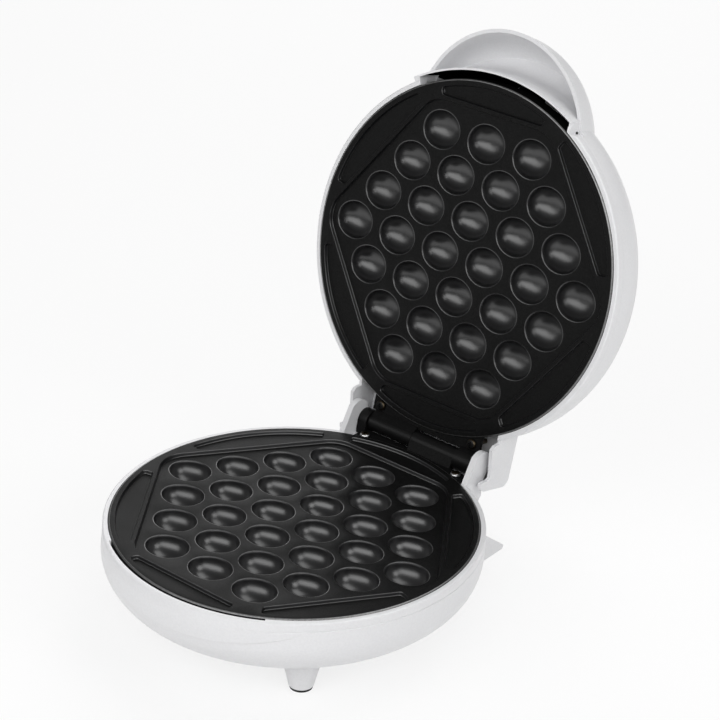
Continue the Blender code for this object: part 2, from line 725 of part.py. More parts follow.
def make_shield(name, half):
    """Pressed sheet dish behind the heater, with holes for the screws, legs and thermostat."""
    top = -shield_top()
    rim_top = top + SHIELD_RIM_HEIGHT
    outer = SHIELD_RADIUS + SHIELD_RIM_FLARE
    shape = add_turned(bmesh.new(), [
        (0, top),
        (SHIELD_RADIUS, top),
        (outer, rim_top),
        (outer + SHIELD_SHEET, rim_top),
        (SHIELD_RADIUS + SHIELD_SHEET, top - SHIELD_SHEET),
        (0, top - SHIELD_SHEET)], SHIELD_STEPS)
    shield = make_piece(name, shape, half, ALUMINIUM_SHEET, 0.35, 1.0)
    holes = bmesh.new()
    low = top - SHIELD_SHEET - OVERRUN
    high = top + OVERRUN
    add_drum(holes, SHIELD_CENTRE_HOLE, low, high, steps=PIN_STEPS)
    for centre in post_centres():
        add_drum(holes, LONG_SCREW_SHANK_RADIUS + SEAT_GAP, low, high, centre)
    for side in (-1, 1):
        angle = math.pi / 2 + side * (HEATER_OPEN_ANGLE - HEATER_BEND_RADIUS / HEATER_RADIUS)
        centre = (HEATER_RADIUS * math.cos(angle), HEATER_RADIUS * math.sin(angle))
        add_drum(holes, SHIELD_LEG_HOLE, low, high, centre)
    combine(shield, holes, half, "DIFFERENCE", "holes")
    return shield


def pan_screw(centre, head_level, length, head_radius, shank_radius, upward):
    """A pan-head screw whose head seats at a level and whose shank points up or down."""
    way = 1 if upward else -1
    head = SCREW_HEAD_HEIGHT
    profile = [
        (0, head_level - way * head),
        (head_radius * HEAD_CROWN_SHARE, head_level - way * head),
        (head_radius, head_level - way * head * (1 - HEAD_CROWN_SHARE)),
        (head_radius, head_level),
        (shank_radius, head_level),
        (shank_radius, head_level + way * length),
        (0, head_level + way * length)]
    return add_turned(bmesh.new(), profile, SCREW_STEPS, centre)


def leaf_outline(facing, reach):
    """A leaf: arched round the plate in front, and reaching closer to the barrel that it faces."""
    start = math.acos(BRACKET_HALF_WIDTH / LEAF_ARCH_RADIUS)
    front = circle(LEAF_ARCH_RADIUS, ARCH_STEPS, (0, 0), start, math.pi - 2 * start)
    return front + [
        (-BRACKET_HALF_WIDTH, LEAF_BACK), (facing[0], LEAF_BACK), (facing[0], reach), (facing[1], reach),
        (facing[1], LEAF_BACK), (BRACKET_HALF_WIDTH, LEAF_BACK)]


def make_bracket(name, half, axis_height, barrel, knuckle, facing, reach):
    """Leaf with an arched front edge, one inner barrel and one end knuckle, bored for the pin."""
    level = -BRACKET_DROP
    shape = add_prism(bmesh.new(), leaf_outline(facing, reach), level - BRACKET_SHEET, level)
    bracket = make_piece(name, shape, half, BLACK_PAINT, 0.35, 0.3)
    axis = (HINGE_BACK, axis_height)
    for span, radius, label in ((barrel, BARREL_RADIUS, "barrel"), (knuckle, KNUCKLE_RADIUS, "knuckle")):
        web = knuckle_outline(axis, radius, level)
        combine(bracket, add_bar(bmesh.new(), web, *span), half, "UNION", label)
    cuts = bmesh.new()
    bore = circle(PIN_RADIUS + PIN_CLEARANCE, PIN_STEPS, axis)
    add_bar(cuts, bore, -HINGE_REACH - OVERRUN, HINGE_REACH + OVERRUN)
    for centre in hinge_screw_centres().values():
        add_drum(cuts, SCREW_SHANK_RADIUS + SEAT_GAP, level - BRACKET_SHEET - OVERRUN, level + OVERRUN, centre)
    combine(bracket, cuts, half, "DIFFERENCE", "bores")
    return bracket


def make_base_bracket(half):
    gap = SEAT_GAP / 2
    barrel_room = BARREL_RADIUS + BARREL_CLEARANCE
    drop = HINGE_HEIGHT + BRACKET_DROP
    return make_bracket(
        "base_hinge_bracket", half, HINGE_HEIGHT,
        barrel=(MIDDLE_SEAM + gap, RIGHT_SEAM - gap),
        knuckle=(-HINGE_REACH, LEFT_SEAM - gap),
        facing=(LEFT_SEAM, MIDDLE_SEAM),
        reach=HINGE_BACK - math.sqrt(barrel_room ** 2 - drop ** 2))


def make_lid_bracket(half):
    """The lid's bracket, in a frame that is turned over, so that left and right change places."""
    gap = SEAT_GAP / 2
    return make_bracket(
        "lid_hinge_bracket", half, lid_axis_height(),
        barrel=(-MIDDLE_SEAM + gap, -LEFT_SEAM - gap),
        knuckle=(-HINGE_REACH, -RIGHT_SEAM - gap),
        facing=(-RIGHT_SEAM, -MIDDLE_SEAM),
        reach=HINGE_BACK - BARREL_RADIUS - 2 * BARREL_CLEARANCE)


def knuckle_outline(axis, radius, level):
    """The round knuckle with a web that runs forward into the leaf."""
    root = LEAF_BACK - SEAT_GAP
    points = circle(radius, KNUCKLE_STEPS, axis)
    return convex_outline(points + [(root, level - BRACKET_SHEET), (root, level)])


def convex_outline(points):
    """The convex hull of flat points, anticlockwise."""
    ordered = sorted(set(points))
    chains = []
    for run in (ordered, ordered[::-1]):
        chain = []
        for point in run:
            while len(chain) > 1 and turn_of(chain[-2], chain[-1], point) <= 0:
                chain.pop()
            chain.append(point)
        chains.append(chain[:-1])
    return chains[0] + chains[1]


def turn_of(start, middle, end):
    return (middle[0] - start[0]) * (end[1] - start[1]) - (middle[1] - start[1]) * (end[0] - start[0])


def shell_profile(shoulder, depth, fullness):
    """The outside of a shell, with its rim band and the groove under it."""
    profile = [
        (0, -RIM_DROP),
        (SHELL_RADIUS - RIM_ROUND, -RIM_DROP),
        (SHELL_RADIUS, -RIM_DROP - RIM_ROUND),
        (SHELL_RADIUS, -RIM_BAND),
        (SHELL_RADIUS - GROOVE_DEPTH, -RIM_BAND - GROOVE_DEPTH)]
    profile += rounded_profile(SHELL_RADIUS, shoulder, depth, fullness, SHELL_FLAT_SHARE, SHELL_OUTER_STEPS)
    return profile + [(0, profile[-1][1])]


def room_profile(shoulder, depth, fullness):
    """The room inside a shell, with the ledge that the plate's skirt stands on."""
    mouth = PLATE_RADIUS + SEAT_GAP
    ledge = PLATE_DEPTH + SEAT_GAP
    profile = [
        (0, OVERRUN),
        (mouth, OVERRUN),
        (mouth, -ledge),
        (mouth - LEDGE_WIDTH, -ledge),
        (mouth - LEDGE_WIDTH, -ledge - LEDGE_HEIGHT)]
    radius = SHELL_RADIUS - SHELL_WALL
    inner = rounded_profile(
        radius, shoulder, depth - SHELL_WALL, fullness, SHELL_FLAT_SHARE, SHELL_INNER_STEPS)
    profile += [point for point in inner if point[1] < -ledge - LEDGE_HEIGHT - LEDGE_WIDTH / 2]
    return profile + [(0, profile[-1][1])]


def turned_shell(profile):
    return add_turned(bmesh.new(), profile, SHELL_STEPS)


def swell_front(shape):
    """Push the front of a bowl outward below its rim band, most of all straight ahead."""
    for vert in shape.verts:
        if vert.co.y < 0:
            below = (-vert.co.z - RIM_BAND) / BASE_SHOULDER
            fade = min(max(below, 0), 1)
            vert.co.y *= 1 + fade * BASE_FRONT_SWELL / SHELL_RADIUS
    return shape


def depth_at(profile, radius):
    """How deep a turned profile lies at a distance from its axis, on its lowest stretch there."""
    depth = 0.0
    for (outer, high), (inner, low) in zip(profile, profile[1:]):
        if inner <= radius < outer:
            depth = max(depth, -high - (low - high) * (outer - radius) / (outer - inner))
    return depth


def sector_outline(inner, outer, half_angle, steps):
    """A stretch of a ring round the front, between two radii."""
    middle = -math.pi / 2
    outline = circle(outer, steps, (0, 0), middle - half_angle, 2 * half_angle)
    outline += circle(inner, steps, (0, 0), middle + half_angle, -2 * half_angle)
    return outline


def grip_lip():
    """The thumb lip round the front of the base, swelling from nothing at its two ends."""
    shape = bmesh.new()
    sections = []
    root = SHELL_RADIUS - LIP_ROOT
    for index in range(LIP_SECTIONS + 1):
        share = 2 * index / LIP_SECTIONS - 1
        fade = math.cos(share * math.pi / 2) ** LIP_FADE_SHARE if abs(share) < 1 else 0.0
        angle = -math.pi / 2 + share * LIP_HALF_ANGLE
        reach = LIP_REACH * fade
        depth = LIP_END_DEPTH + (LIP_DEPTH - LIP_END_DEPTH) * fade
        points = [(root, -RIM_DROP)]
        surface = SHELL_RADIUS - LIP_ROOT * (1 - fade) / 2
        for outward, down in LIP_SECTION_SHARES:
            points.append((surface + outward * reach, -RIM_DROP - down * depth))
        points.append((root, -RIM_DROP - depth - LIP_UNDERCUT * fade))
        sections.append([
            shape.verts.new((radius * math.cos(angle), radius * math.sin(angle), height))
            for radius, height in points])
    for section, following in zip(sections, sections[1:]):
        for index in range(len(section)):
            after = (index + 1) % len(section)
            shape.faces.new((section[index], section[after], following[after], following[index]))
    shape.faces.new(sections[0])
    shape.faces.new(sections[-1][::-1])
    return shape


def foot_centres():
    """The four feet, each at an angle from straight ahead or behind and an inset from the edge."""
    centres = []
    for end, way, inset, angle in (
            ("front", -1, FRONT_FOOT_INSET, FRONT_FOOT_ANGLE), ("rear", 1, REAR_FOOT_INSET, REAR_FOOT_ANGLE)):
        radius = SHELL_RADIUS - inset
        for label, side in (("left", -1), ("right", 1)):
            centre = (side * radius * math.sin(angle), way * radius * math.cos(angle))
            centres.append((end + "_" + label, centre))
    return centres


def base_floor():
    """Depth of the floor inside the base's bowl."""
    return depth_at(room_profile(*BASE_FORM), 0)


def make_base_housing(half):
    bowl = swell_front(turned_shell(shell_profile(*BASE_FORM)))
    shell = make_piece("base_housing", bowl, half, WHITE, 0.32)
    combine(shell, grip_lip(), half, "UNION", "grip_lip")

    shelf_outline = [
        (SHELF_ROOT, -shelf_top()),
        (SHELF_BACK, -shelf_top()),
        (SHELF_BACK, -shelf_top() - SHELF_HEIGHT),
        (SHELF_BACK - SHELF_TAPER, -shelf_top() - SHELF_HEIGHT - SHELF_TAPER),
        (SHELF_ROOT, -shelf_top() - SHELF_HEIGHT - SHELF_TAPER)]
    shelf = add_bar(bmesh.new(), shelf_outline, -SHELF_HALF_WIDTH, SHELF_HALF_WIDTH)
    combine(shell, shelf, half, "UNION", "hinge_shelf")

    lugs = bmesh.new()
    lug_inner = SHELF_HALF_WIDTH - LUG_THICKNESS
    for side in (-1, 1):
        span = sorted((side * lug_inner, side * SHELF_HALF_WIDTH))
        add_bar(lugs, lug_outline(), *span)
    combine(shell, lugs, half, "UNION", "lugs")

    feet = bmesh.new()
    end = -FOOT_HEIGHT + PAD_THICKNESS + SEAT_GAP
    for _, centre in foot_centres():
        merge(feet, add_turned(bmesh.new(), [
            (0, -FOOT_HEIGHT + FOOT_ROOT_RISE),
            (FOOT_TOP_RADIUS, -FOOT_HEIGHT + FOOT_ROOT_RISE),
            (FOOT_TOP_RADIUS, -FOOT_HEIGHT + FOOT_SHOULDER_RISE),
            (FOOT_MIDDLE_RADIUS, -FOOT_HEIGHT + FOOT_MIDDLE_RISE),
            (FOOT_BOTTOM_RADIUS, end),
            (0, end)], FOOT_STEPS, centre))
    combine(shell, feet, half, "UNION", "feet")
    heels = bmesh.new()
    for side in (-1, 1):
        middle = side * HEEL_SIDE
        add_bar(heels, heel_outline(), middle - HEEL_THICKNESS / 2, middle + HEEL_THICKNESS / 2)
    combine(shell, heels, half, "UNION", "heels")
    gland = add_drum_y(bmesh.new(), GLAND_BOSS_RADIUS, GLAND_ROOT, GLAND_BOSS_BACK, -GLAND_DEPTH)
    combine(shell, gland, half, "UNION", "gland_boss")

    room = room_profile(*BASE_FORM)
    combine(shell, turned_shell(room), half, "DIFFERENCE", "room")
    gap = sector_outline(
        PLATE_RADIUS - PLATE_SKIRT_WALL, FRONT_GAP_RADIUS, FRONT_GAP_HALF_ANGLE, PLATE_STEPS // 4)
    ledge = PLATE_DEPTH + SEAT_GAP
    combine(shell, add_prism(bmesh.new(), gap, -ledge, OVERRUN), half, "DIFFERENCE", "front_gap")

    clear_width = lug_inner
    bay = bmesh.new()
    add_box(bay, (-clear_width, clear_width), (SHELF_ROOT, SHELF_BACK + OVERRUN), (-shelf_top(), OVERRUN))
    combine(shell, bay, half, "DIFFERENCE", "hinge_bay")
    slots = bmesh.new()
    for side in (-1, 1):
        middle = side * HINGE_SCREW_SIDE
        wide = EAR_RADIUS + EAR_CLEARANCE
        back = HINGE_SCREW_BACK + wide
        add_box(slots, (middle - wide, middle + wide), (SHELF_ROOT, back), (-ear_seat(), OVERRUN))
    combine(shell, slots, half, "DIFFERENCE", "ear_slots")

    bosses = bmesh.new()
    for centre in post_centres():
        add_drum(bosses, BOSS_RADIUS, -base_floor() - SHELL_WALL / 2, -boss_end(), centre, FOOT_STEPS)
    combine(shell, bosses, half, "UNION", "bosses")
    holes = bmesh.new()
    for centre in post_centres():
        roof = -boss_end() - BOSS_RECESS_ROOF
        add_drum(holes, BOSS_RECESS_RADIUS, -base_floor() - 2 * SHELL_WALL, roof, centre)
    combine(shell, holes, half, "DIFFERENCE", "screw_recesses")
    bores = bmesh.new()
    for centre in post_centres():
        add_drum(
            bores, LONG_SCREW_SHANK_RADIUS + SEAT_GAP, -boss_end() - BOSS_RECESS_ROOF - OVERRUN,
            -boss_end() + OVERRUN, centre)
    for centre in hinge_screw_centres().values():
        depth = hinge_screw_end() + SEAT_GAP
        add_drum(bores, SCREW_SHANK_RADIUS + SEAT_GAP, -depth, OVERRUN, centre)
    combine(shell, bores, half, "DIFFERENCE", "screw_bores")
    lead = add_drum_y(
        bmesh.new(), GLAND_HOLE_RADIUS, GLAND_ROOT - OVERRUN, GLAND_BOSS_BACK + OVERRUN, -GLAND_DEPTH)
    combine(shell, lead, half, "DIFFERENCE", "gland_hole")
    return shell


def hinge_screw_end():
    return BRACKET_DROP + HINGE_SCREW_LENGTH


def add_drum_y(shape, radius, front, back, height, steps=GLAND_STEPS, side=0.0):
    """A round bar along Y."""
    outline = circle(radius, steps, (side, -height))
    lay_down = Matrix(((1, 0, 0), (0, 0, 1), (0, -1, 0)))
    return add_prism(shape, outline, front, back, turn=lay_down)


def lug_outline():
    """A lug's side: its foot on the shelf, a slope up the front and a round nose over the pin."""
    nose = (HINGE_BACK - LUG_NOSE_FORWARD, HINGE_HEIGHT + LUG_NOSE_RISE)
    arc = circle(LUG_NOSE_RADIUS, LUG_NOSE_STEPS, nose, LUG_NOSE_START_ANGLE, LUG_NOSE_SWEEP_ANGLE)
    low = -shelf_top() - SHELF_HEIGHT / 2
    return [(LUG_FOOT_BACK, low), (SHELF_BACK - OVERRUN, low), (SHELF_BACK, -shelf_top())] + arc + [
        (LUG_FOOT_BACK, HINGE_HEIGHT - LUG_NOSE_RISE / 2)]


def heel_outline():
    """A heel's side: a sloping back edge down to a blunt tip, and a nearly level underside."""
    tip = -FOOT_HEIGHT + HEEL_TIP_RISE
    return [
        (HEEL_ROOT, -HEEL_TOP_DEPTH),
        (HEEL_ROOT, tip - HEEL_UNDER_DROP),
        (HEEL_TIP_BACK, tip - HEEL_TIP_HEIGHT),
        (HEEL_TIP_BACK, tip),
        (HEEL_ROOT + HEEL_TOP_LENGTH, -HEEL_TOP_DEPTH)]


def make_foot_pads(half):
    for label, centre in foot_centres():
        pad = add_drum(bmesh.new(), PAD_RADIUS, -FOOT_HEIGHT, -FOOT_HEIGHT + PAD_THICKNESS, centre, FOOT_STEPS)
        make_piece(label + "_foot_pad", pad, half, RUBBER, 0.85)


def hood_solid(inset):
    """The hood's dome, hanging from its rim plane and inset by a wall where it is a cutter."""
    radius = HOOD_RADIUS - inset
    rise = HOOD_RISE - inset
    rim = -HOOD_RIM_DEPTH + (OVERRUN if inset else 0)
    profile = [(0, rim), (radius, rim)]
    profile += rounded_profile(
        radius, HOOD_RIM_DEPTH + HOOD_SHOULDER, rise, HOOD_FULLNESS_SHARE, SHELL_FLAT_SHARE, HOOD_PROFILE_STEPS)
    profile += [(0, profile[-1][1])]
    hood = add_turned(bmesh.new(), profile, HOOD_STEPS, (0, -HOOD_CENTRE))
    for vert in hood.verts:
        vert.co.y -= (vert.co.z + HOOD_RIM_DEPTH) * HOOD_RAKE_SHARE
    return hood


def cover_outline():
    """Side view of the lid's rear cover, drawn in the lid half's own frame."""
    axis = lid_axis_height()
    tab = COVER_TAB_RISE
    sweep = math.asin((tab - axis) / COVER_TAB_SWING)
    swing = circle(COVER_TAB_SWING, COVER_ROUND_STEPS, (HINGE_BACK, axis), math.pi, -sweep)
    corner = circle(
        COVER_ROUND, COVER_ROUND_STEPS, (COVER_BACK - COVER_ROUND, tab - COVER_ROUND), math.radians(90),
        -math.radians(90))
    top = circle(
        COVER_ROUND, COVER_ROUND_STEPS, (COVER_BACK - COVER_ROUND, -COVER_TOP_DEPTH + COVER_ROUND), 0,
        -math.radians(90))
    return [(COVER_ROOT, axis)] + swing + corner + top + [(COVER_ROOT, -COVER_TOP_DEPTH)]


def cover_room_outline():
    """Side view of the room inside the cover, open below and behind the hinge."""
    back = COVER_BACK - COVER_WALL
    roof = -COVER_TOP_DEPTH + COVER_WALL
    inner = COVER_ROUND - COVER_WALL
    top = circle(
        inner, COVER_ROUND_STEPS, (back - inner, roof + inner), -math.radians(90), math.radians(90))
    high = COVER_TAB_RISE + OVERRUN
    return [(COVER_ROOT - OVERRUN, high), (COVER_ROOT - OVERRUN, roof)] + top + [
        (back, -COVER_SKIRT_RISE), (COVER_BACK + OVERRUN, -COVER_SKIRT_RISE), (COVER_BACK + OVERRUN, high)]


def lid_axis_height():
    """Height of the hinge axis in the lid half's own frame, which is turned over."""
    return CLOSED_GAP - HINGE_HEIGHT


def make_lid_housing(half):
    outside = shell_profile(*LID_FORM)
    shell = make_piece("lid_housing", turned_shell(outside), half, WHITE, 0.32)
    wall = sector_outline(
        PLATE_RADIUS - PLATE_SKIRT_WALL, LID_GAP_RADIUS + FRONT_WALL, FRONT_WALL_HALF_ANGLE, PLATE_STEPS // 4)
    front = add_prism(bmesh.new(), wall, -HOOD_RIM_DEPTH - OVERRUN, -FRONT_WALL_DROP)
    combine(shell, front, half, "UNION", "front_step")
    combine(shell, hood_solid(0.0), half, "UNION", "hood")
    cover = add_bar(bmesh.new(), cover_outline(), -COVER_HALF_WIDTH, COVER_HALF_WIDTH)
    combine(shell, cover, half, "UNION", "cover")

    room = room_profile(*LID_FORM)
    combine(shell, turned_shell(room), half, "DIFFERENCE", "room")
    scoop = make_guide("lid_housing_scoop_form", hood_solid(HOOD_WALL), half)
    outer = LID_GAP_RADIUS + FRONT_WALL + SEAT_GAP
    ring = sector_outline(LID_GAP_RADIUS, outer, PARTITION_HALF_ANGLE, PLATE_STEPS // 2)
    partition = add_prism(
        bmesh.new(), ring, -HOOD_RIM_DEPTH - HOOD_SHOULDER - HOOD_RISE - OVERRUN, OVERRUN + OVERRUN)
    combine(scoop, partition, half, "DIFFERENCE", "partition")
    add_boolean(shell, scoop, "DIFFERENCE", "scoop")
    gap = sector_outline(
        PLATE_RADIUS - PLATE_SKIRT_WALL, LID_GAP_RADIUS, LID_GAP_HALF_ANGLE, PLATE_STEPS // 4)
    combine(shell, add_prism(bmesh.new(), gap, -LID_GAP_DEPTH, OVERRUN), half, "DIFFERENCE", "front_gap")
    cover_room = add_bar(
        bmesh.new(), cover_room_outline(), -COVER_HALF_WIDTH + COVER_WALL, COVER_HALF_WIDTH - COVER_WALL)
    combine(shell, cover_room, half, "DIFFERENCE", "cover_room")

    bosses = bmesh.new()
    for centre in hinge_screw_centres().values():
        add_drum(bosses, EAR_RADIUS, -COVER_TOP_DEPTH + COVER_WALL / 2, -ear_seat(), centre, FOOT_STEPS)
    combine(shell, bosses, half, "UNION", "hinge_bosses")
    bores = bmesh.new()
    for centre in hinge_screw_centres().values():
        add_drum(bores, SCREW_SHANK_RADIUS + SEAT_GAP, -hinge_screw_end() - SEAT_GAP, OVERRUN, centre)
    for side in (-1, 1):
        centre = (side * LAMP_SIDE, -LAMP_FORWARD)
        add_drum(
            bores, LENS_RADIUS + SEAT_GAP, -lens_crown() - OVERRUN, -lens_seat() + OVERRUN, centre, LENS_STEPS)
    combine(shell, bores, half, "DIFFERENCE", "bores")
    posts = bmesh.new()
    for side in (-1, 1):
        centre = (side * holder_post_side(), -LAMP_FORWARD)
        add_drum(posts, HOLDER_POST_RADIUS, -lens_seat() - SHELL_WALL / 2, -holder_level() - SEAT_GAP, centre)
    combine(shell, posts, half, "UNION", "holder_posts")
    return shell


def lens_seat():
    """Depth at which a lens's flange clears the dome's inner face all round."""
    far = math.hypot(LAMP_SIDE + LENS_FLANGE_RADIUS, LAMP_FORWARD + LENS_FLANGE_RADIUS)
    return depth_at(room_profile(*LID_FORM), far) - SEAT_GAP


def lens_crown():
    """Depth of a lens's outer face, just proud of the dome."""
    near = math.hypot(LAMP_SIDE, LAMP_FORWARD - LENS_RADIUS)
    return depth_at(shell_profile(*LID_FORM), near) + LENS_PROUD


def holder_post_side():
    """How far to each side the holder's posts stand, just clear of the lenses."""
    return LAMP_SIDE + LENS_FLANGE_RADIUS + HOLDER_MARGIN + HOLDER_POST_RADIUS


def holder_level():
    """Depth of the lamp holder's outer face."""
    return lens_seat() - LENS_FLANGE - SEAT_GAP - LAMP_LENGTH - SEAT_GAP


def make_lamps(half):
    for label, side, colour in (("power", -1, RED), ("ready", 1, GREEN)):
        centre = (side * LAMP_SIDE, -LAMP_FORWARD)
        seat = -lens_seat()
        profile = [
            (0, seat + LENS_FLANGE),
            (LENS_FLANGE_RADIUS, seat + LENS_FLANGE),
            (LENS_FLANGE_RADIUS, seat),
            (LENS_RADIUS, seat),
            (LENS_RADIUS, -lens_crown() + LENS_PROUD),
            (LENS_RADIUS * LENS_CROWN_SHARE, -lens_crown()),
            (0, -lens_crown())]
        lens = add_turned(bmesh.new(), profile, LENS_STEPS, centre)
        make_piece(label + "_lamp_lens", lens, half, colour, 0.15)
        top = seat + LENS_FLANGE + SEAT_GAP
        bulb = add_drum(bmesh.new(), LAMP_RADIUS, top, top + LAMP_LENGTH - SEAT_GAP, centre, SCREW_STEPS)
        make_piece(label + "_lamp", bulb, half, GLASS, 0.1)
    holder = bmesh.new()
    wide = holder_post_side() + HOLDER_POST_RADIUS
    deep = HOLDER_LENGTH / 2
    level = -holder_level()
    add_box(holder, (-wide, wide), (-LAMP_FORWARD - deep, -LAMP_FORWARD + deep), (level, level + HOLDER_SHEET))
    make_piece("lamp_holder", holder, half, NYLON, 0.5)


def make_hinge_screws(name, half):
    """Two screws that clamp a bracket and the plate's ears to the shell."""
    for label, centre in hinge_screw_centres().items():
        shape = pan_screw(
            centre, -BRACKET_DROP + SEAT_GAP, HINGE_SCREW_LENGTH, SCREW_HEAD_RADIUS, SCREW_SHANK_RADIUS,
            upward=False)
        make_piece(name + "_" + label, shape, half, STEEL, 0.25, 1.0)


def make_post_screws(name, half, head_level, length):
    """Three screws up into the posts under a plate."""
    for label, centre in zip(POST_ANGLES, post_centres()):
        shape = pan_screw(
            centre, head_level, length, LONG_SCREW_HEAD_RADIUS, LONG_SCREW_SHANK_RADIUS, upward=True)
        make_piece(name + "_" + label, shape, half, STEEL, 0.3, 1.0)


def make_pin(half):
    outline = circle(PIN_RADIUS, PIN_STEPS, (HINGE_BACK, HINGE_HEIGHT))
    shape = add_bar(bmesh.new(), outline, -HINGE_REACH, HINGE_REACH)
    return make_piece("hinge_pin", shape, half, STEEL, 0.25, 1.0)


def make_thermostat(half):
    top = -heater_top() - SEAT_GAP
    shape = add_turned(bmesh.new(), [
        (0, top),
        (THERMOSTAT_SEAT_RADIUS, top),
        (THERMOSTAT_SEAT_RADIUS, top - THERMOSTAT_FLANGE),
        (THERMOSTAT_RADIUS, top - THERMOSTAT_FLANGE),
        (THERMOSTAT_RADIUS, top - THERMOSTAT_HEIGHT),
        (0, top - THERMOSTAT_HEIGHT)], PIN_STEPS)
    body = make_piece("thermostat", shape, half, CERAMIC, 0.6)
    blades = bmesh.new()
    low = top - THERMOSTAT_HEIGHT - BLADE_LENGTH
    for side in (-1, 1):
        middle = side * BLADE_OFFSET
        wide = BLADE_THICKNESS / 2
        add_box(blades, (middle - wide, middle + wide), (-BLADE_WIDTH / 2, BLADE_WIDTH / 2), (
            low, top - THERMOSTAT_HEIGHT + OVERRUN))
    combine(body, blades, half, "UNION", "blades")
    return body


def make_fuse(half):
    """A thermal fuse lying on the shield's back, under a sheet clip."""
    level = -shield_top() - SHIELD_SHEET - SEAT_GAP - FUSE_RADIUS
    shape = bmesh.new()
    half_length = FUSE_LENGTH / 2
    outline = circle(FUSE_RADIUS, SCREW_STEPS, (-FUSE_FORWARD, level))
    add_bar(shape, outline, -half_length, half_length)
    fuse = make_piece("thermal_fuse", shape, half, NYLON, 0.4)
    leads = bmesh.new()
    reach = half_length + FUSE_LEAD_LENGTH
    add_bar(leads, circle(FUSE_LEAD_RADIUS, HEATER_TUBE_STEPS, (-FUSE_FORWARD, level)), -reach, reach)
    combine(fuse, leads, half, "UNION", "leads")

    sheet = -shield_top() - SHIELD_SHEET - SEAT_GAP
    inner = FUSE_RADIUS + SEAT_GAP
    outer = inner + CLIP_SHEET
    outline = [
        (-outer - CLIP_FOOT, sheet), (-inner, sheet), (-inner, level - inner), (inner, level - inner),
        (inner, sheet), (outer + CLIP_FOOT, sheet), (outer + CLIP_FOOT, sheet - CLIP_SHEET),
        (outer, sheet - CLIP_SHEET), (outer, level - outer), (-outer, level - outer),
        (-outer, sheet - CLIP_SHEET), (-outer - CLIP_FOOT, sheet - CLIP_SHEET)]
    outline = [(y - FUSE_FORWARD, z) for y, z in outline]
    clip = add_bar(bmesh.new(), outline, -CLIP_WIDTH / 2, CLIP_WIDTH / 2)
    make_piece("fuse_clip", clip, half, ALUMINIUM_SHEET, 0.4, 1.0)


def make_terminal_block(half):
    floor = -base_floor() + SEAT_GAP
    wide = BLOCK_WIDTH / 2
    top = floor + BLOCK_HEIGHT
    shape = add_box(bmesh.new(), (-wide, wide), (BLOCK_BACK - BLOCK_LENGTH, BLOCK_BACK), (floor, top))
    block = make_piece("terminal_block", shape, half, NYLON, 0.5)
    wells = bmesh.new()
    for index in range(BLOCK_WELL_COUNT):
        side = (index - (BLOCK_WELL_COUNT - 1) / 2) * BLOCK_WIDTH / BLOCK_WELL_COUNT
        centre = (side, BLOCK_BACK - BLOCK_LENGTH / 2)
        add_drum(wells, BLOCK_WELL_RADIUS, top - BLOCK_WELL_DEPTH, top + OVERRUN, centre)
    combine(block, wells, half, "DIFFERENCE", "wells")
    return block


def make_gland(half):
    """A flanged bush in the back wall, with a bore for the mains lead."""
    seat = GLAND_BOSS_BACK + SEAT_GAP
    shape = add_drum_y(bmesh.new(), GLAND_FLANGE_RADIUS, seat, seat + GLAND_FLANGE, -GLAND_DEPTH)
    gland = make_piece("cord_gland", shape, half, RUBBER, 0.7)
    body = add_drum_y(
        bmesh.new(), GLAND_HOLE_RADIUS - SEAT_GAP, GLAND_ROOT, seat + GLAND_FLANGE / 2, -GLAND_DEPTH)
    combine(gland, body, half, "UNION", "body")
    bore = add_drum_y(
        bmesh.new(), GLAND_BORE_RADIUS, GLAND_ROOT - OVERRUN, seat + GLAND_FLANGE + OVERRUN, -GLAND_DEPTH,
        steps=SCREW_STEPS)
    combine(gland, bore, half, "DIFFERENCE", "bore")
    return gland


def stand_on_ground(stand):
    """Move the whole part so that its pads stand at height zero, under the middle of its box."""
    bpy.context.view_layer.update()
    graph = bpy.context.evaluated_depsgraph_get()
    corners = []
    for obj in bpy.data.objects:
        if obj.type == "MESH" and not obj.hide_render:
            solid = obj.evaluated_get(graph)
            corners += [solid.matrix_world @ vert.co for vert in solid.data.vertices]
    low = [min(corner[axis] for corner in corners) for axis in range(3)]
    high = [max(corner[axis] for corner in corners) for axis in range(3)]
    stand.location = (-(low[0] + high[0]) / 2, -(low[1] + high[1]) / 2, -low[2])
    bpy.context.view_layer.update()


def main():
    clear_scene()
    stand = make_empty("stand")
    axis = Vector((0, HINGE_BACK, HINGE_HEIGHT))
    lid_hinge = make_empty("lid_hinge", stand, axis, -OPEN_ANGLE)
    base = {"parent": stand, "matrix": Matrix.Identity(4)}
    turned_over = Matrix.Translation((0, 0, CLOSED_GAP)) @ Matrix.Rotation(math.pi, 4, "Y")
    lid = {"parent": lid_hinge, "matrix": Matrix.Translation(-axis) @ turned_over}

    make_base_housing(base)
    make_foot_pads(base)
    make_plate("base_plate", base)
    make_heater("base_heating_element", base)
    make_shield("base_heat_shield", base)
    screw_length = BOSS_RECESS_ROOF + boss_end() - post_end() + POST_BITE
    recess_level = -boss_end() - BOSS_RECESS_ROOF - SEAT_GAP
    make_post_screws("base_plate_screw", base, recess_level, screw_length)
    make_thermostat(base)
    make_fuse(base)
    make_terminal_block(base)
    make_gland(base)
    make_base_bracket(base)
    make_hinge_screws("base_hinge_screw", base)
    make_pin(base)

    make_lid_housing(lid)
    make_plate("lid_plate", lid)
    make_heater("lid_heating_element", lid)
    make_shield("lid_heat_shield", lid)
    sheet_level = -shield_top() - SHIELD_SHEET - SEAT_GAP
    make_post_screws("lid_shield_screw", lid, sheet_level, SHIELD_SHEET + SHORT_SCREW_BITE)
    make_lamps(lid)
    make_lid_bracket(lid)
    make_hinge_screws("lid_hinge_screw", lid)
    stand_on_ground(stand)


main()
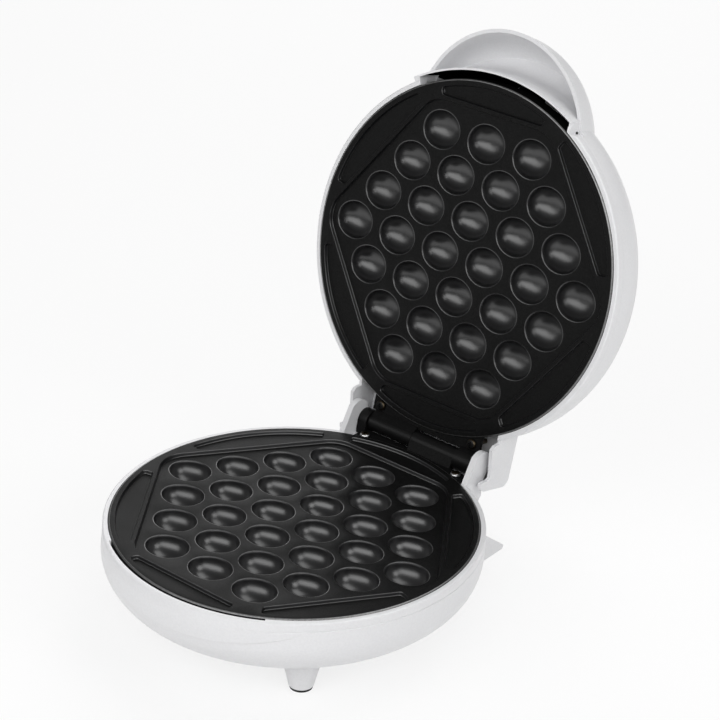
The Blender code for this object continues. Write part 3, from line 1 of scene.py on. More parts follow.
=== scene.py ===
"""Bubble waffle maker, standing open, dressed for a picture.

Each half is drawn face up in its own frame, as the solids are: plate face at zero height, body below it.
The lid's frame is then turned over and swung open on the hinge.
"""
import json
from math import acos, asin, atan2, cos, dist, hypot, pi, sin, sqrt

import bmesh
import bpy
from mathutils import Matrix, Vector
from mathutils.geometry import delaunay_2d_cdt


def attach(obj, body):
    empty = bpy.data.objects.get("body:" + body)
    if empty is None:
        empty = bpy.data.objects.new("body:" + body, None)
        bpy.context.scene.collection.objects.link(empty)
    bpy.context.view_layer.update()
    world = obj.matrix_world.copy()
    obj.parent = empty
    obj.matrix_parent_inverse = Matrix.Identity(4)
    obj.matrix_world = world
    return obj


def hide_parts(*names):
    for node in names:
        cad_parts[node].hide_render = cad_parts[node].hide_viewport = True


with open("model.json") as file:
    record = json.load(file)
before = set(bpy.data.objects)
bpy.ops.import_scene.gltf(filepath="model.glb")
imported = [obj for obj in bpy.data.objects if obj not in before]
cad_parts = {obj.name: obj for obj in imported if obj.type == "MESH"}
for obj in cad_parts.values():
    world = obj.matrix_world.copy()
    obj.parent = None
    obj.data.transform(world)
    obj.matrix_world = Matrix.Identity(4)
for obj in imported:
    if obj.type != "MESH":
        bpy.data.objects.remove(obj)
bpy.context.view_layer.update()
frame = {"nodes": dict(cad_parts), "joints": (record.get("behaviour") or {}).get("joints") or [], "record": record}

MM = 0.001
OVERRUN = 2 * MM
SEAT_GAP = 0.3 * MM
WELD = 0.002 * MM
DRAWING_SNAP = WELD / 10
DEGREE = pi / 180
FULL_TURN = 2 * pi
UPRIGHT = Matrix.Identity(3)
ALONG_X = Matrix(((0, 0, 1), (1, 0, 0), (0, 1, 0)))
LAID_DOWN = Matrix(((1, 0, 0), (0, 0, 1), (0, -1, 0)))

# Rounding and shading of edges, and the turns in degrees over a rounded corner
SHARP_ANGLE = 32 * DEGREE
CREASE_ANGLE = 40 * DEGREE
CASTING_CREASE_ANGLE = 50 * DEGREE
ROUND_SEGMENTS = 2
ROUND_TURNS = (30, 60, 90)

# Hinge, which also places both halves
HINGE_BACK = 105.4 * MM
HINGE_HEIGHT = 2.2 * MM
CLOSED_GAP = 1 * MM
LID_JOINT = frame["joints"][0]
OPEN_ANGLE = LID_JOINT["range_deg"][1] * DEGREE
HINGE_POINT = Vector(LID_JOINT["pos_m"])
ORIGIN = HINGE_POINT - Vector((0, HINGE_BACK, HINGE_HEIGHT))

# Room and floor
ROOM_STRENGTH = 0.17
FLOOR_GREY = 0.92
FLOOR_ROUGHNESS = 0.9
FLOOR_SPECULAR = 0.1
FLOOR_LIFT = 0.78
FLOOR_HALF = 4.0

# Soft lamps: name, place, width and height, and watts
LAMP_AIM = (0, 0, 0.12)
SOFTBOXES = (
    ("key_box", (0.30, -1.20, 1.00), (3.2, 0.85), 22),
    ("right_box", (1.35, 0.05, 1.05), (0.8, 0.8), 6),
    ("top_box", (0.1, 0.8, 1.6), (1.4, 1.2), 10),
    ("left_card", (-1.1, 1.35, 0.95), (1.4, 1.1), 10))

# Finishes: detail and roughness of the two noises, the spans used, and what most finishes share
GRAIN_FORM = (3.0, 0.6)
GRAIN_SPAN = (0.35, 0.65)
BLOTCH_FORM = (2.0, 0.5)
BLOTCH_SPAN = (0.3, 0.7)
BLOTCH_SCALE = 25.0
PLAIN_SPECULAR = 0.5
PLAIN_COAT_ROUGHNESS = 0.03

# Camera, fitted to the two plates in the photograph: angles, and the plate's centre seen from it
IMAGE_PIXELS = 720
FOCAL_PIXELS = 2372.149
SENSOR = 36.0
CAMERA_AZIMUTH = 38.932 * DEGREE
CAMERA_ELEVATION = 26.965 * DEGREE
CAMERA_ROLL = 2.463 * DEGREE
CAMERA_ASIDE = -33.786 * MM
CAMERA_ABOVE = -81.55 * MM
CAMERA_DISTANCE = 1231.433 * MM

# Cast plate
PLATE_RADIUS = 96.5 * MM
PLATE_DEPTH = 10 * MM
PLATE_UNDERSIDE = 12.5 * MM
PLATE_INNER_RADIUS = 90 * MM
PLATE_ROUND = 0.8 * MM
PLATE_STEPS = 240
CELL_PITCH = 30 * MM
CELL_ROW_PITCH = 21.3 * MM
CELLS_IN_ROWS = (3, 4, 5, 6, 5, 4, 3)
CELL_HALF_WIDTH = 11.8 * MM
CELL_HALF_LENGTH = 10.2 * MM
CELL_DEPTH = 9 * MM
CELL_ROUND = 0.6 * MM
CELL_LIP_SHARES = ((1.0, 0.0), (0.45, 0.12), (0.1, 0.42))
CELL_FULLNESS = 2.15
CELL_STEPS = 48
CELL_RINGS = 12
TRAY_DEPTH = 2 * MM
TRAY_MARGIN = 16.2 * MM
TRAY_CORNER_STEPS = 14
POCKET_DEPTH = 1.8 * MM
POCKET_LAND = 2.6 * MM
POCKET_OUTER_RADIUS = 92.8 * MM
POCKET_END_RADIUS = 1.7 * MM
SIDE_POCKET_HALF_ANGLE = 23.5 * DEGREE
END_POCKET_HALF_ANGLE = 21.5 * DEGREE
POCKET_STEPS = 24
POCKET_END_STEPS = 6
STEP_WIDTH = 0.7 * MM
STEP_LOOPS = 6
WALL_DROP = 0.1 * MM
CURVE_STEP = 2.5 * MM

# Moulded shells
SHELL_RADIUS = 99.5 * MM
SHELL_WALL = 2.4 * MM
SHELL_STEPS = 180
FRONT_STEPS = SHELL_STEPS // 4
SHELL_FLAT_SHARE = 0.02
SHELL_POINTS = 30
ROOM_POINTS = 10
ROOM_FLAT_SHARE = 0.3
BASE_SHOULDER = 10 * MM
BASE_BOWL_DEPTH = 38.6 * MM
BASE_FULLNESS = 2.6
BASE_FRONT_SWELL = 2.3 * MM
LID_SHOULDER = 7 * MM
LID_BOWL_DEPTH = 40 * MM
LID_FULLNESS = 3.0
BASE_FORM = (BASE_SHOULDER, BASE_BOWL_DEPTH, BASE_FULLNESS)
LID_FORM = (LID_SHOULDER, LID_BOWL_DEPTH, LID_FULLNESS)
RIM_DROP = 0.5 * MM
RIM_ROUND = 0.9 * MM
RIM_BAND = 5 * MM
GROOVE_DEPTH = 0.4 * MM
LEDGE_WIDTH = 2.6 * MM
LEDGE_HEIGHT = 2 * MM
EDGE_ROUND = 0.5 * MM

# Front of the base
FRONT_GAP_RADIUS = 98.1 * MM
FRONT_GAP_HALF_ANGLE = 33 * DEGREE
LIP_REACH = 3 * MM
LIP_HALF_ANGLE = 43 * DEGREE
LIP_DEPTH = 15.5 * MM
LIP_END_DEPTH = 6 * MM
LIP_UNDERCUT = 2.2 * MM
LIP_UNDERCUT_SHARES = ((0.25, 0.86), (0.5, 0.5), (0.75, 0.14), (1.0, 0.0))
LIP_ROWS = 10
LIP_FADE_POWER = 0.7
LIP_SHARES = ((0.0, 0.3), (0.12, 0.8), (0.4, 1.0), (0.75, 0.96), (1.0, 0.72))

# Front of the lid
LID_GAP_RADIUS = 101.2 * MM
LID_GAP_HALF_ANGLE = 30 * DEGREE
LID_GAP_DEPTH = 15 * MM
# Painted shade inside the front gap: how far short of the gap's end it stops, which way its faces may look, and
# its slack
GAP_SHADE_END_ANGLE = 1 * DEGREE
GAP_SHADE_FACING = -0.1
GAP_SHADE_SLACK = SEAT_GAP / 3
COVE_TOP_DEPTH = 20 * MM
COVE_RADIUS = 15 * MM
COVE_STEPS = 10
SCOOP_TRIM = 0.1 * MM
FRONT_WALL = 1.1 * MM
FRONT_WALL_HALF_ANGLE = 32 * DEGREE
FRONT_WALL_DROP = 1 * MM
SQUARE_END_SIDE = 50 * MM
SQUARE_END_WALL = 1.6 * MM
SQUARE_END_NOTCH = 54.6 * MM
SQUARE_END_FRONT = 83 * MM
HOOD_CENTRE = 71.3 * MM
HOOD_RADIUS = 53.6 * MM
HOOD_WALL = 2 * MM
HOOD_RIM_DEPTH = 8.7 * MM
HOOD_SHOULDER = 5 * MM
HOOD_RISE = 26 * MM
HOOD_FLOOR = HOOD_RIM_DEPTH + HOOD_SHOULDER + HOOD_RISE
HOOD_RAKE_SHARE = 0.2
HOOD_FULLNESS = 3.0
HOOD_FLAT_SHARE = 0.05
HOOD_STEPS = 144
HOOD_POINTS = 16

# Hinge pieces
PIN_RADIUS = 2 * MM
PIN_CLEARANCE = 0.1 * MM
ROUND_STEPS = 48
BARREL_RADIUS = 5 * MM
KNUCKLE_RADIUS = 6.3 * MM
BRACKET_DROP = 1.5 * MM
BRACKET_SHEET = 2.4 * MM
BRACKET_HALF_WIDTH = 37 * MM
KNUCKLE_CLEARANCE = 0.7 * MM
BRACKET_BACK = HINGE_BACK - KNUCKLE_RADIUS - KNUCKLE_CLEARANCE
BARREL_CLEARANCE = 0.45 * MM
HINGE_REACH = 41 * MM
BARREL_FACING = 0.96
LEFT_SEAM = -35 * MM
MIDDLE_SEAM = -5 * MM
RIGHT_SEAM = 25 * MM
HINGE_SCREW_SIDE = 31.8 * MM
HINGE_SCREW_BACK = 94.83 * MM
HINGE_SCREW_LENGTH = 13 * MM
SCREW_HEAD_RADIUS = 2.9 * MM
SCREW_HEAD_HEIGHT = 1.6 * MM
SCREW_CROWN_TURNS = (90, 70, 50, 30, 10, 0)
SCREW_FLAT_SHARE = 0.35
SCREW_SIDE_SHARE = 0.25
SCREW_DISH_SHARE = 0.75
SCREW_SHANK_RADIUS = 1.4 * MM
SCREW_STEPS = 32
CROSS_WIDTH = 0.75 * MM
CROSS_REACH = 1.4 * MM
CROSS_DEPTH = 1 * MM
METAL_ROUND = 0.25 * MM

# Hinge shelf and lugs of the base
SHELF_BACK = 101.8 * MM
SHELF_HALF_WIDTH = 44.6 * MM
SHELF_ROOT = 80 * MM
SHELF_HEIGHT = 8 * MM
SHELF_TAPER = 9 * MM
SHELF_TOP = BRACKET_DROP + BRACKET_SHEET + SEAT_GAP
LUG_THICKNESS = 3.3 * MM
LUG_INNER = SHELF_HALF_WIDTH - LUG_THICKNESS
LUG_NOSE_RADIUS = 8.6 * MM
LUG_NOSE_FORWARD = 4.6 * MM
LUG_NOSE_RISE = 3.8 * MM
LUG_NOSE_ARC = (-8 * DEGREE, 138 * DEGREE)
LUG_FOOT_BACK = 88 * MM
LUG_REAR = 2.6 * MM

# Cover at the back of the lid, with a notch in millimetres back and up from the hinge
COVER_HALF_WIDTH = 49.6 * MM
COVER_WALL = 2 * MM
COVER_BACK = 115 * MM
COVER_TOP_DEPTH = 17 * MM
COVER_SKIRT_RISE = 0.2 * MM
COVER_TAB_RISE = 9.3 * MM
COVER_NOTCH = ((-17.2, 0.0), (-16.0, 4.5), (-13.8, 6.4), (0.5, 3.0), (2.4, 2.9), (3.5, 3.9), (4.2, 8.6))
COVER_ROUND = 5 * MM
COVER_ROOT = 78 * MM
COVER_STEPS = 12

# Feet, with their reach back and their turn from the middle, heels, bosses and gland
FOOT_HEIGHT = 56 * MM
FOOT_TOP_RADIUS = 11.6 * MM
FOOT_MIDDLE_RADIUS = 9.7 * MM
FOOT_BOTTOM_RADIUS = 6.5 * MM
FOOT_ROOT_DEPTH = 22 * MM
FOOT_SHOULDER_DEPTH = 30 * MM
FOOT_MIDDLE_DEPTH = 41 * MM
FEET = (("front", -71.6 * MM, 45.1 * DEGREE), ("rear", 85.6 * MM, 36.3 * DEGREE))
PAD_RADIUS = 6 * MM
PAD_THICKNESS = 1.4 * MM
HEEL_SIDE = 51.5 * MM
HEEL_THICKNESS = 6.5 * MM
HEEL_TIP_BACK = 111.8 * MM
HEEL_TIP_ROUND = 1.6 * MM
HEEL_TIP_DEPTH = 43 * MM
HEEL_TIP_HEIGHT = 1.6 * MM
HEEL_TIP_ARC = (-88 * DEGREE, 142 * DEGREE)
HEEL_TOP_DEPTH = 15.5 * MM
HEEL_TOP_BACK = 76 * MM
HEEL_UNDER_DROP = 3.4 * MM
HEEL_ROOT = 72 * MM
GLAND_DEPTH = 30.5 * MM
GLAND_BOSS_RADIUS = 9 * MM
GLAND_BOSS_BACK = 97.5 * MM
GLAND_ROOT = 84 * MM
GLAND_HOLE_RADIUS = 5.8 * MM
GLAND_FLANGE_RADIUS = 7.6 * MM
GLAND_FLANGE = 1.8 * MM
GLAND_BORE_RADIUS = 3.6 * MM
POST_CIRCLE_RADIUS = 40 * MM
POST_ANGLES = (90 * DEGREE, 210 * DEGREE, 330 * DEGREE)
BOSS_RADIUS = 5.6 * MM
BOSS_RECESS_RADIUS = 3.6 * MM
BOSS_END = 24 * MM
BOSS_RECESS_ROOF = 3 * MM

# Lamps in the lid
LAMP_SIDE = 9 * MM
LAMP_FORWARD = 42 * MM
LENS_RADIUS = 4 * MM
LENS_FLANGE_RADIUS = 5.4 * MM
LENS_FLANGE = 1.2 * MM
LENS_PROUD = 1 * MM
LENS_CROWN_POWER = 0.6
LENS_TURNS = (0, 15, 30, 45, 60, 75, 88)

BASE_MATRIX = Matrix.Translation(ORIGIN)
LID_MATRIX = (
    Matrix.Translation(HINGE_POINT) @ Matrix.Rotation(-OPEN_ANGLE, 4, "X")
    @ Matrix.Translation((0, -HINGE_BACK, CLOSED_GAP - HINGE_HEIGHT)) @ Matrix.Rotation(pi, 4, "Y"))
LID_AXIS_HEIGHT = CLOSED_GAP - HINGE_HEIGHT
HALVES = {"base": BASE_MATRIX, "lid": LID_MATRIX}


# Materials

def new_material(name):
    material = bpy.data.materials.new(name)
    material.use_nodes = True
    tree = material.node_tree
    return material, tree, tree.nodes["Principled BSDF"]


def wire(tree, node, values, links):
    """Set some inputs of a node and link others."""
    for name, value in values.items():
        node.inputs[name].default_value = value
    for name, source in links.items():
        tree.links.new(source, node.inputs[name])
    return node


def add_noise(tree, scale, detail, roughness):
    """A noise that is fixed to the piece, in its own coordinates."""
    place = tree.nodes.new("ShaderNodeTexCoord").outputs["Object"]
    values = {"Scale": scale, "Detail": detail, "Roughness": roughness}
    return wire(tree, tree.nodes.new("ShaderNodeTexNoise"), values, {"Vector": place}).outputs["Fac"]


def add_ramp(tree, source, low, high, span):
    """Mix two colours over a span of a noise."""
    ramp = tree.nodes.new("ShaderNodeValToRGB")
    for element, position, colour in zip(ramp.color_ramp.elements, span, (low, high)):
        element.position = position
        element.color = (*colour, 1)
    tree.links.new(source, ramp.inputs["Fac"])
    return ramp.outputs["Color"]


def add_range(tree, source, low, high):
    """Spread the middle of a noise over a range of values."""
    values = {"From Min": BLOTCH_SPAN[0], "From Max": BLOTCH_SPAN[1], "To Min": low, "To Max": high}
    return wire(tree, tree.nodes.new("ShaderNodeMapRange"), values, {"Value": source}).outputs["Result"]


def add_bump(tree, source, strength, distance):
    values = {"Strength": strength, "Distance": distance}
    return wire(tree, tree.nodes.new("ShaderNodeBump"), values, {"Height": source}).outputs["Normal"]


def add_math(tree, operation, values, links):
    node = tree.nodes.new("ShaderNodeMath")
    node.operation = operation
    return wire(tree, node, values, links).outputs["Value"]


def make_finish(name, low, high, grain, roughness, bump, bump_depth, span=GRAIN_SPAN, metallic=0.0,
                specular=PLAIN_SPECULAR, coat=0.0, coat_roughness=PLAIN_COAT_ROUGHNESS):
    """A finish with fine grain in its colour and bump, and slow blotches in its roughness."""
    material, tree, shader = new_material(name)
    fine = add_noise(tree, grain, *GRAIN_FORM)
    slow = add_noise(tree, BLOTCH_SCALE, *BLOTCH_FORM)
    values = {
        "Metallic": metallic, "Specular IOR Level": specular, "Coat Weight": coat,
        "Coat Roughness": coat_roughness}
    wire(tree, shader, values, {
        "Base Color": add_ramp(tree, fine, low, high, span), "Roughness": add_range(tree, slow, *roughness),
        "Normal": add_bump(tree, fine, bump, bump_depth * MM)})
    return material


def grey(value, blue=0.0):
    return (value, value, value + blue)


# Rows of name, darkest and lightest colour, grain's scale, roughness, and bump's strength and depth in mm
FINISHES = {
    "white_housing": ("white_plastic", grey(0.74, 0.012), grey(0.77, 0.012), 900, (0.30, 0.40), 0.04, 0.02),
    "black_coating": ("coating_flat", grey(0.002), grey(0.010), 1600, (0.42, 0.52), 0.35, 0.05),
    # Near-black paint for faces deep in the lid's front gap: painted shade, not a separate part of the lid
    "gap_shade": ("black_gap_shade", grey(0.0005), grey(0.002), 900, (0.8, 0.9), 0.08, 0.04),
    "cell": ("coating_cell", grey(0.002), grey(0.004, 0.001), 1500, (0.29, 0.35), 0.06, 0.03),
    "edge": ("bare_rim_aluminium", grey(0.20), grey(0.28), 900, (0.34, 0.46), 0.10, 0.03),
    "black_hinge": ("black_paint", grey(0.002), grey(0.005), 1200, (0.34, 0.46), 0.12, 0.03),
    "steel": ("plated_steel", grey(0.52), grey(0.66), 700, (0.18, 0.30), 0.05, 0.02),
    # Darker, brownish steel for the screws: painted shade on the lid's screws, and a painted dark reflection on
    # the tops of the base's screws
    "steel_shade_reflection": (
        "screw_steel_painted_shade", (0.05, 0.04, 0.025), (0.09, 0.07, 0.045), 700, (0.28, 0.42), 0.08, 0.02),
    "black_rubber": ("black_rubber_pad", grey(0.014), grey(0.026), 1100, (0.70, 0.85), 0.25, 0.05),
    "aluminium_sheet": ("aluminium_shield", grey(0.55), grey(0.68), 500, (0.25, 0.45), 0.10, 0.03),
    "white_nylon": ("natural_nylon", (0.68, 0.68, 0.63), (0.75, 0.75, 0.70), 800, (0.42, 0.55), 0.06, 0.02),
    "ceramic": ("cream_ceramic", (0.62, 0.58, 0.50), (0.72, 0.67, 0.58), 600, (0.20, 0.35), 0.05, 0.02),
    "red_lens": (
        "red_lens_plastic", (0.42, 0.012, 0.012), (0.52, 0.02, 0.018), 500, (0.08, 0.14), 0.02, 0.02),
    "green_lens": (
        "green_lens_plastic", (0.02, 0.30, 0.05), (0.035, 0.38, 0.07), 500, (0.08, 0.14), 0.02, 0.02),
    "lamp_glass": ("lamp_bulb", (0.75, 0.70, 0.62), (0.85, 0.80, 0.72), 500, (0.05, 0.12), 0.02, 0.02)}
METAL = {"metallic": 1.0}
CLEAR = {"coat": 0.4}
FINISH_EXTRAS = {
    "black_coating": {"specular": 0.12, "span": (0.42, 0.72)},
    "gap_shade": {"specular": 0.02},
    "cell": {"specular": 0.9, "coat": 0.25, "coat_roughness": 0.30},
    "black_hinge": {"specular": 0.22},
    "black_rubber": {"specular": 0.3},
    "edge": METAL, "steel": METAL, "steel_shade_reflection": METAL, "aluminium_sheet": METAL,
    "red_lens": CLEAR, "green_lens": CLEAR}


def make_materials():
    materials = {}
    for key, row in FINISHES.items():
        materials[key] = make_finish(*row, **FINISH_EXTRAS.get(key, {}))
    return materials


MATERIALS = make_materials()


# Mesh helpers

def circle(radius, steps, centre=(0, 0), start=0.0, sweep=FULL_TURN):
    """Points round a circle, or round an arc with both of its ends."""
    count = steps if abs(sweep) >= FULL_TURN else steps + 1
    points = []
    for index in range(count):
        angle = start + sweep * index / steps
        points.append((centre[0] + radius * cos(angle), centre[1] + radius * sin(angle)))
    return points


def skin(shape, ring, following):
    """Join two rings of equal counts by quads."""
    made = []
    for index in range(len(ring)):
        after = (index + 1) % len(ring)
        made.append(shape.faces.new((ring[index], ring[after], following[after], following[index])))
    return made


def face_out(shape):
    """Turn all faces outwards."""
    bmesh.ops.recalc_face_normals(shape, faces=shape.faces)
    return shape


def add_prism(shape, outline, low, high, turn=UPRIGHT):
    """Extrude a flat outline from one height to another."""
    bottom = [shape.verts.new(turn @ Vector((x, y, low))) for x, y in outline]
    top = [shape.verts.new(turn @ Vector((x, y, high))) for x, y in outline]
    shape.faces.new(bottom)
    shape.faces.new(top[::-1])
    skin(shape, bottom, top)
    return face_out(shape)


def add_bar(shape, outline, low, high):
    """Extrude an outline drawn in Y and Z along X."""
    return add_prism(shape, outline, low, high, ALONG_X)


def add_box(shape, x_span, y_span, z_span):
    left, right = x_span
    front, back = y_span
    return add_prism(shape, [(left, front), (right, front), (right, back), (left, back)], *z_span)


def add_drum_y(shape, radius, front, back, height):
    """A round bar along Y."""
    return add_prism(shape, circle(radius, ROUND_STEPS, (0, -height)), front, back, LAID_DOWN)


def add_rings(shape, rings):
    """Skin a stack of rings of equal counts and close both ends."""
    stack = [[shape.verts.new(point) for point in ring] for ring in rings]
    for ring, following in zip(stack, stack[1:]):
        skin(shape, ring, following)
    shape.faces.new(stack[0])
    shape.faces.new(stack[-1][::-1])
    return face_out(shape)


def turned_rings(profile, steps, centre=(0, 0)):
    return [[(x, y, height) for x, y in circle(radius, steps, centre)] for radius, height in profile]


def add_turned(shape, profile, steps, centre=(0, 0)):
    """Turn an open profile of radii and heights round an upright axis and close its ends."""
    return add_rings(shape, turned_rings(profile, steps, centre))


def add_hoop(shape, section, steps):
    """Turn a closed section of radii and heights round Z."""
    rings = [[shape.verts.new(point) for point in ring] for ring in turned_rings(section, steps)]
    for ring, following in zip(rings, rings[1:] + rings[:1]):
        skin(shape, ring, following)
    return face_out(shape)


def add_object(name, data):
    obj = bpy.data.objects.new(name, data)
    bpy.context.scene.collection.objects.link(obj)
    return obj


def new_mesh_object(name, shape, matrix):
    mesh = bpy.data.meshes.new(name)
    shape.to_mesh(mesh)
    shape.free()
    mesh.transform(matrix)
    return add_object(name, mesh)


def bake(obj):
    """Replace an object's mesh by its evaluated one and drop its modifiers."""
    bpy.context.view_layer.update()
    graph = bpy.context.evaluated_depsgraph_get()
    mesh = bpy.data.meshes.new_from_object(obj.evaluated_get(graph))
    obj.modifiers.clear()
    obj.data = mesh
    return obj


def carve(name, shape, matrix, steps):
    """A solid made from a first shape by a list of unions and differences."""
    obj = new_mesh_object(name, shape, matrix)
    helpers = []
    for operation, operand in steps:
        if isinstance(operand, bmesh.types.BMesh):
            operand = new_mesh_object(name + "_form", operand, matrix)
        helpers.append(operand)
        modifier = obj.modifiers.new("form", "BOOLEAN")
        modifier.operation = operation
        modifier.solver = "EXACT"
        modifier.object = operand
    bake(obj)
    for helper in helpers:
        bpy.data.objects.remove(helper, do_unlink=True)
    return obj


def soften(obj, width):
    """Round the sharp edges and shade the rest smooth."""
    obj.data.shade_smooth()
    weld = obj.modifiers.new("weld", "WELD")
    weld.merge_threshold = WELD
    bevel = obj.modifiers.new("rounds", "BEVEL")
    bevel.width = width
    bevel.segments = ROUND_SEGMENTS
    bevel.limit_method = "ANGLE"
    bevel.angle_limit = CREASE_ANGLE
    bevel.use_clamp_overlap = True
    bevel.miter_outer = "MITER_ARC"
    bake(obj)
    obj.data.set_sharp_from_angle(angle=SHARP_ANGLE)
    even = obj.modifiers.new("even", "WEIGHTED_NORMAL")
    even.keep_sharp = True
    return bake(obj)


def shade(obj, angle):
    """Shade smooth up to an angle between faces."""
    obj.data.shade_smooth()
    obj.data.set_sharp_from_angle(angle=angle)
    return obj


def repaint(obj, matrix, chosen):
    """Give the second material to faces chosen by middle and normal in a half's own frame."""
    back = matrix.inverted()
    for face in obj.data.polygons:
        if chosen(back @ face.center, back.to_3x3() @ face.normal):
            face.material_index = 1


def dress(obj, body, node, slot, *finishes):
    """Ride a piece on its body, in place of its node, in its slot's finish or in the ones given."""
    for finish in finishes or (slot,):
        obj.data.materials.append(MATERIALS[finish])
    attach(obj, body)
    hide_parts(node)


# Cast plates

def cell_centres():
    rows = len(CELLS_IN_ROWS)
    for row, cells in enumerate(CELLS_IN_ROWS):
        for cell in range(cells):
            yield ((cell - (cells - 1) / 2) * CELL_PITCH, (row - (rows - 1) / 2) * CELL_ROW_PITCH)


def tray_corners():
    widest = (max(CELLS_IN_ROWS) - 1) / 2 * CELL_PITCH
    narrow = (CELLS_IN_ROWS[0] - 1) / 2 * CELL_PITCH
    last_row = (len(CELLS_IN_ROWS) - 1) / 2 * CELL_ROW_PITCH
    return [
        (widest, 0), (narrow, last_row), (-narrow, last_row),
        (-widest, 0), (-narrow, -last_row), (narrow, -last_row)]


def side_normals():
    """Outward angle of each side of the pattern, and its distance from the plate's centre."""
    corners = tray_corners()
    sides = []
    for start, end in zip(corners, corners[1:] + corners[:1]):
        angle = atan2(end[1] - start[1], end[0] - start[0]) - pi / 2
        sides.append((angle, start[0] * cos(angle) + start[1] * sin(angle)))
    return sides


def subdivide(outline):
    """Split long straight runs of a closed outline."""
    points = []
    for start, end in zip(outline, outline[1:] + outline[:1]):
        count = max(1, round(dist(start, end) / CURVE_STEP))
        for index in range(count):
            share = index / count
            points.append((start[0] + (end[0] - start[0]) * share, start[1] + (end[1] - start[1]) * share))
    return points


def tray_outline(offset):
    """The hull of the cells' outer ring, moved out or in by an offset."""
    sides = side_normals()
    outline = []
    for index, corner in enumerate(tray_corners()):
        before = sides[index - 1][0]
        sweep = (sides[index][0] - before) % FULL_TURN
        outline += circle(TRAY_MARGIN + offset, TRAY_CORNER_STEPS, corner, before, sweep)
    return subdivide(outline)


def pocket_end(inner, outer, offset, half_angle, side):
    """The rounds at one end of a pocket, which touch the end ray and the arc or the chord."""
    radius = POCKET_END_RADIUS + offset
    room = radius - offset
    aside = sin(half_angle)
    ahead = cos(half_angle)
    far = sqrt((outer - radius) ** 2 - room ** 2)
    far_centre = (far * ahead + room * aside, (far * aside - room * ahead) * side)
    level = inner + radius
    near_centre = (level, (level * aside - room) / ahead * side)
    start = atan2(far_centre[1], far_centre[0])
    square = side * (pi / 2 + half_angle)
    arc = circle(radius, POCKET_END_STEPS, far_centre, start, square - start)
    arc += circle(radius, POCKET_END_STEPS, near_centre, square, side * pi - square)
    return start, arc if side > 0 else arc[::-1]


def pocket_outline(angle, reach, offset):
    """A segment between the tray's land and the plate's rim, moved out or in by an offset."""
    inner = reach + TRAY_MARGIN + POCKET_LAND - offset
    outer = POCKET_OUTER_RADIUS + offset
    faces_end = abs(cos(angle)) < abs(sin(SIDE_POCKET_HALF_ANGLE))
    half_angle = END_POCKET_HALF_ANGLE if faces_end else SIDE_POCKET_HALF_ANGLE
    _, left = pocket_end(inner, outer, offset, half_angle, 1)
    start, right = pocket_end(inner, outer, offset, half_angle, -1)
    arc = circle(outer, POCKET_STEPS, (0, 0), start, -2 * start)[1:-1]
    aside = sin(angle)
    ahead = cos(angle)
    return [(x * ahead - y * aside, x * aside + y * ahead) for x, y in subdivide(left + right + arc)]


def step_share(share):
    """A smooth step from 0 to 1."""
    return share * share * (3 - 2 * share)


def cell_loop(centre, grow):
    """One oval ring of a cell."""
    wide = CELL_HALF_WIDTH + grow
    long = CELL_HALF_LENGTH + grow
    return [(centre[0] + x * wide, centre[1] + y * long) for x, y in circle(1.0, CELL_STEPS)]


def plate_loops():
    """Closed loops over the plate's face, each with its depth."""
    loops = [(circle(PLATE_RADIUS - PLATE_ROUND, PLATE_STEPS), 0.0)]
    for index in range(STEP_LOOPS):
        share = index / (STEP_LOOPS - 1)
        offset = STEP_WIDTH * (0.5 - share)
        loops.append((tray_outline(offset), TRAY_DEPTH * step_share(share)))
        for angle, reach in side_normals():
            loops.append((pocket_outline(angle, reach, offset), POCKET_DEPTH * step_share(share)))
    for centre in cell_centres():
        for grow, depth in cell_rings():
            loops.append((cell_loop(centre, grow), TRAY_DEPTH + depth))
    return loops


def cell_rings():
    """How far each ring stands outside a cell's mouth, and how deep it lies, from the lip inwards."""
    rings = [(CELL_ROUND * out, CELL_ROUND * down) for out, down in CELL_LIP_SHARES]
    lip = rings[-1][1]
    for index in range(1, CELL_RINGS):
        angle = pi / 2 * index / CELL_RINGS
        out = cos(angle) ** (2 / CELL_FULLNESS)
        down = sin(angle) ** (2 / CELL_FULLNESS)
        rings.append((-CELL_HALF_LENGTH * (1 - out), lip + down * (CELL_DEPTH - lip)))
    return rings


def quarter_round(radius, drop, size, turns):
    """Points over a rounded corner, from its level top to its upright side."""
    points = []
    for turn in turns:
        angle = turn * DEGREE
        points.append((radius - size * (1 - sin(angle)), -drop - size * (1 - cos(angle))))
    return points


def add_plate_face(shape):
    """Draw the plate's face with its cells, tray and pockets, and return the points of its rim."""
    points = []
    depths = []
    edges = []
    for outline, depth in plate_loops():
        first = len(points)
        for index, point in enumerate(outline):
            points.append(Vector(point))
            depths.append(depth)
            edges.append((first + index, first + (index + 1) % len(outline)))
    for centre in cell_centres():
        points.append(Vector(centre))
        depths.append(TRAY_DEPTH + CELL_DEPTH)
    flat, _, faces, sources, _, _ = delaunay_2d_cdt(points, edges, [], 0, DRAWING_SNAP)
    verts = []
    for point, source in zip(flat, sources):
        verts.append(shape.verts.new((point.x, point.y, -depths[source[0]])))
    for face in faces:
        made = shape.faces.new([verts[index] for index in face])
        heights = [vert.co.z for vert in made.verts]
        steep = max(heights) - min(heights) > WALL_DROP
        made.material_index = 1 if steep or in_cell(made.calc_center_median()) else 0
    return verts[:PLATE_STEPS]


def make_plate(half):
    """The casting: its drawn face, a rounded rim of bare metal and a skirt."""
    shape = bmesh.new()
    ring = add_plate_face(shape)
    rim = quarter_round(PLATE_RADIUS, 0.0, PLATE_ROUND, ROUND_TURNS)
    rim += [(PLATE_RADIUS, -PLATE_DEPTH), (PLATE_INNER_RADIUS, -PLATE_UNDERSIDE)]
    for radius, height in rim:
        following = [shape.verts.new((x, y, height)) for x, y in circle(radius, PLATE_STEPS)]
        for made in skin(shape, ring, following):
            made.material_index = 2 if -height <= PLATE_ROUND else 0
        ring = following
    shape.faces.new(ring)
    plate = shade(new_mesh_object(half + "_casting", face_out(shape), HALVES[half]), CASTING_CREASE_ANGLE)
    dress(plate, half, half + "_plate", "black_coating", "black_coating", "cell", "edge")


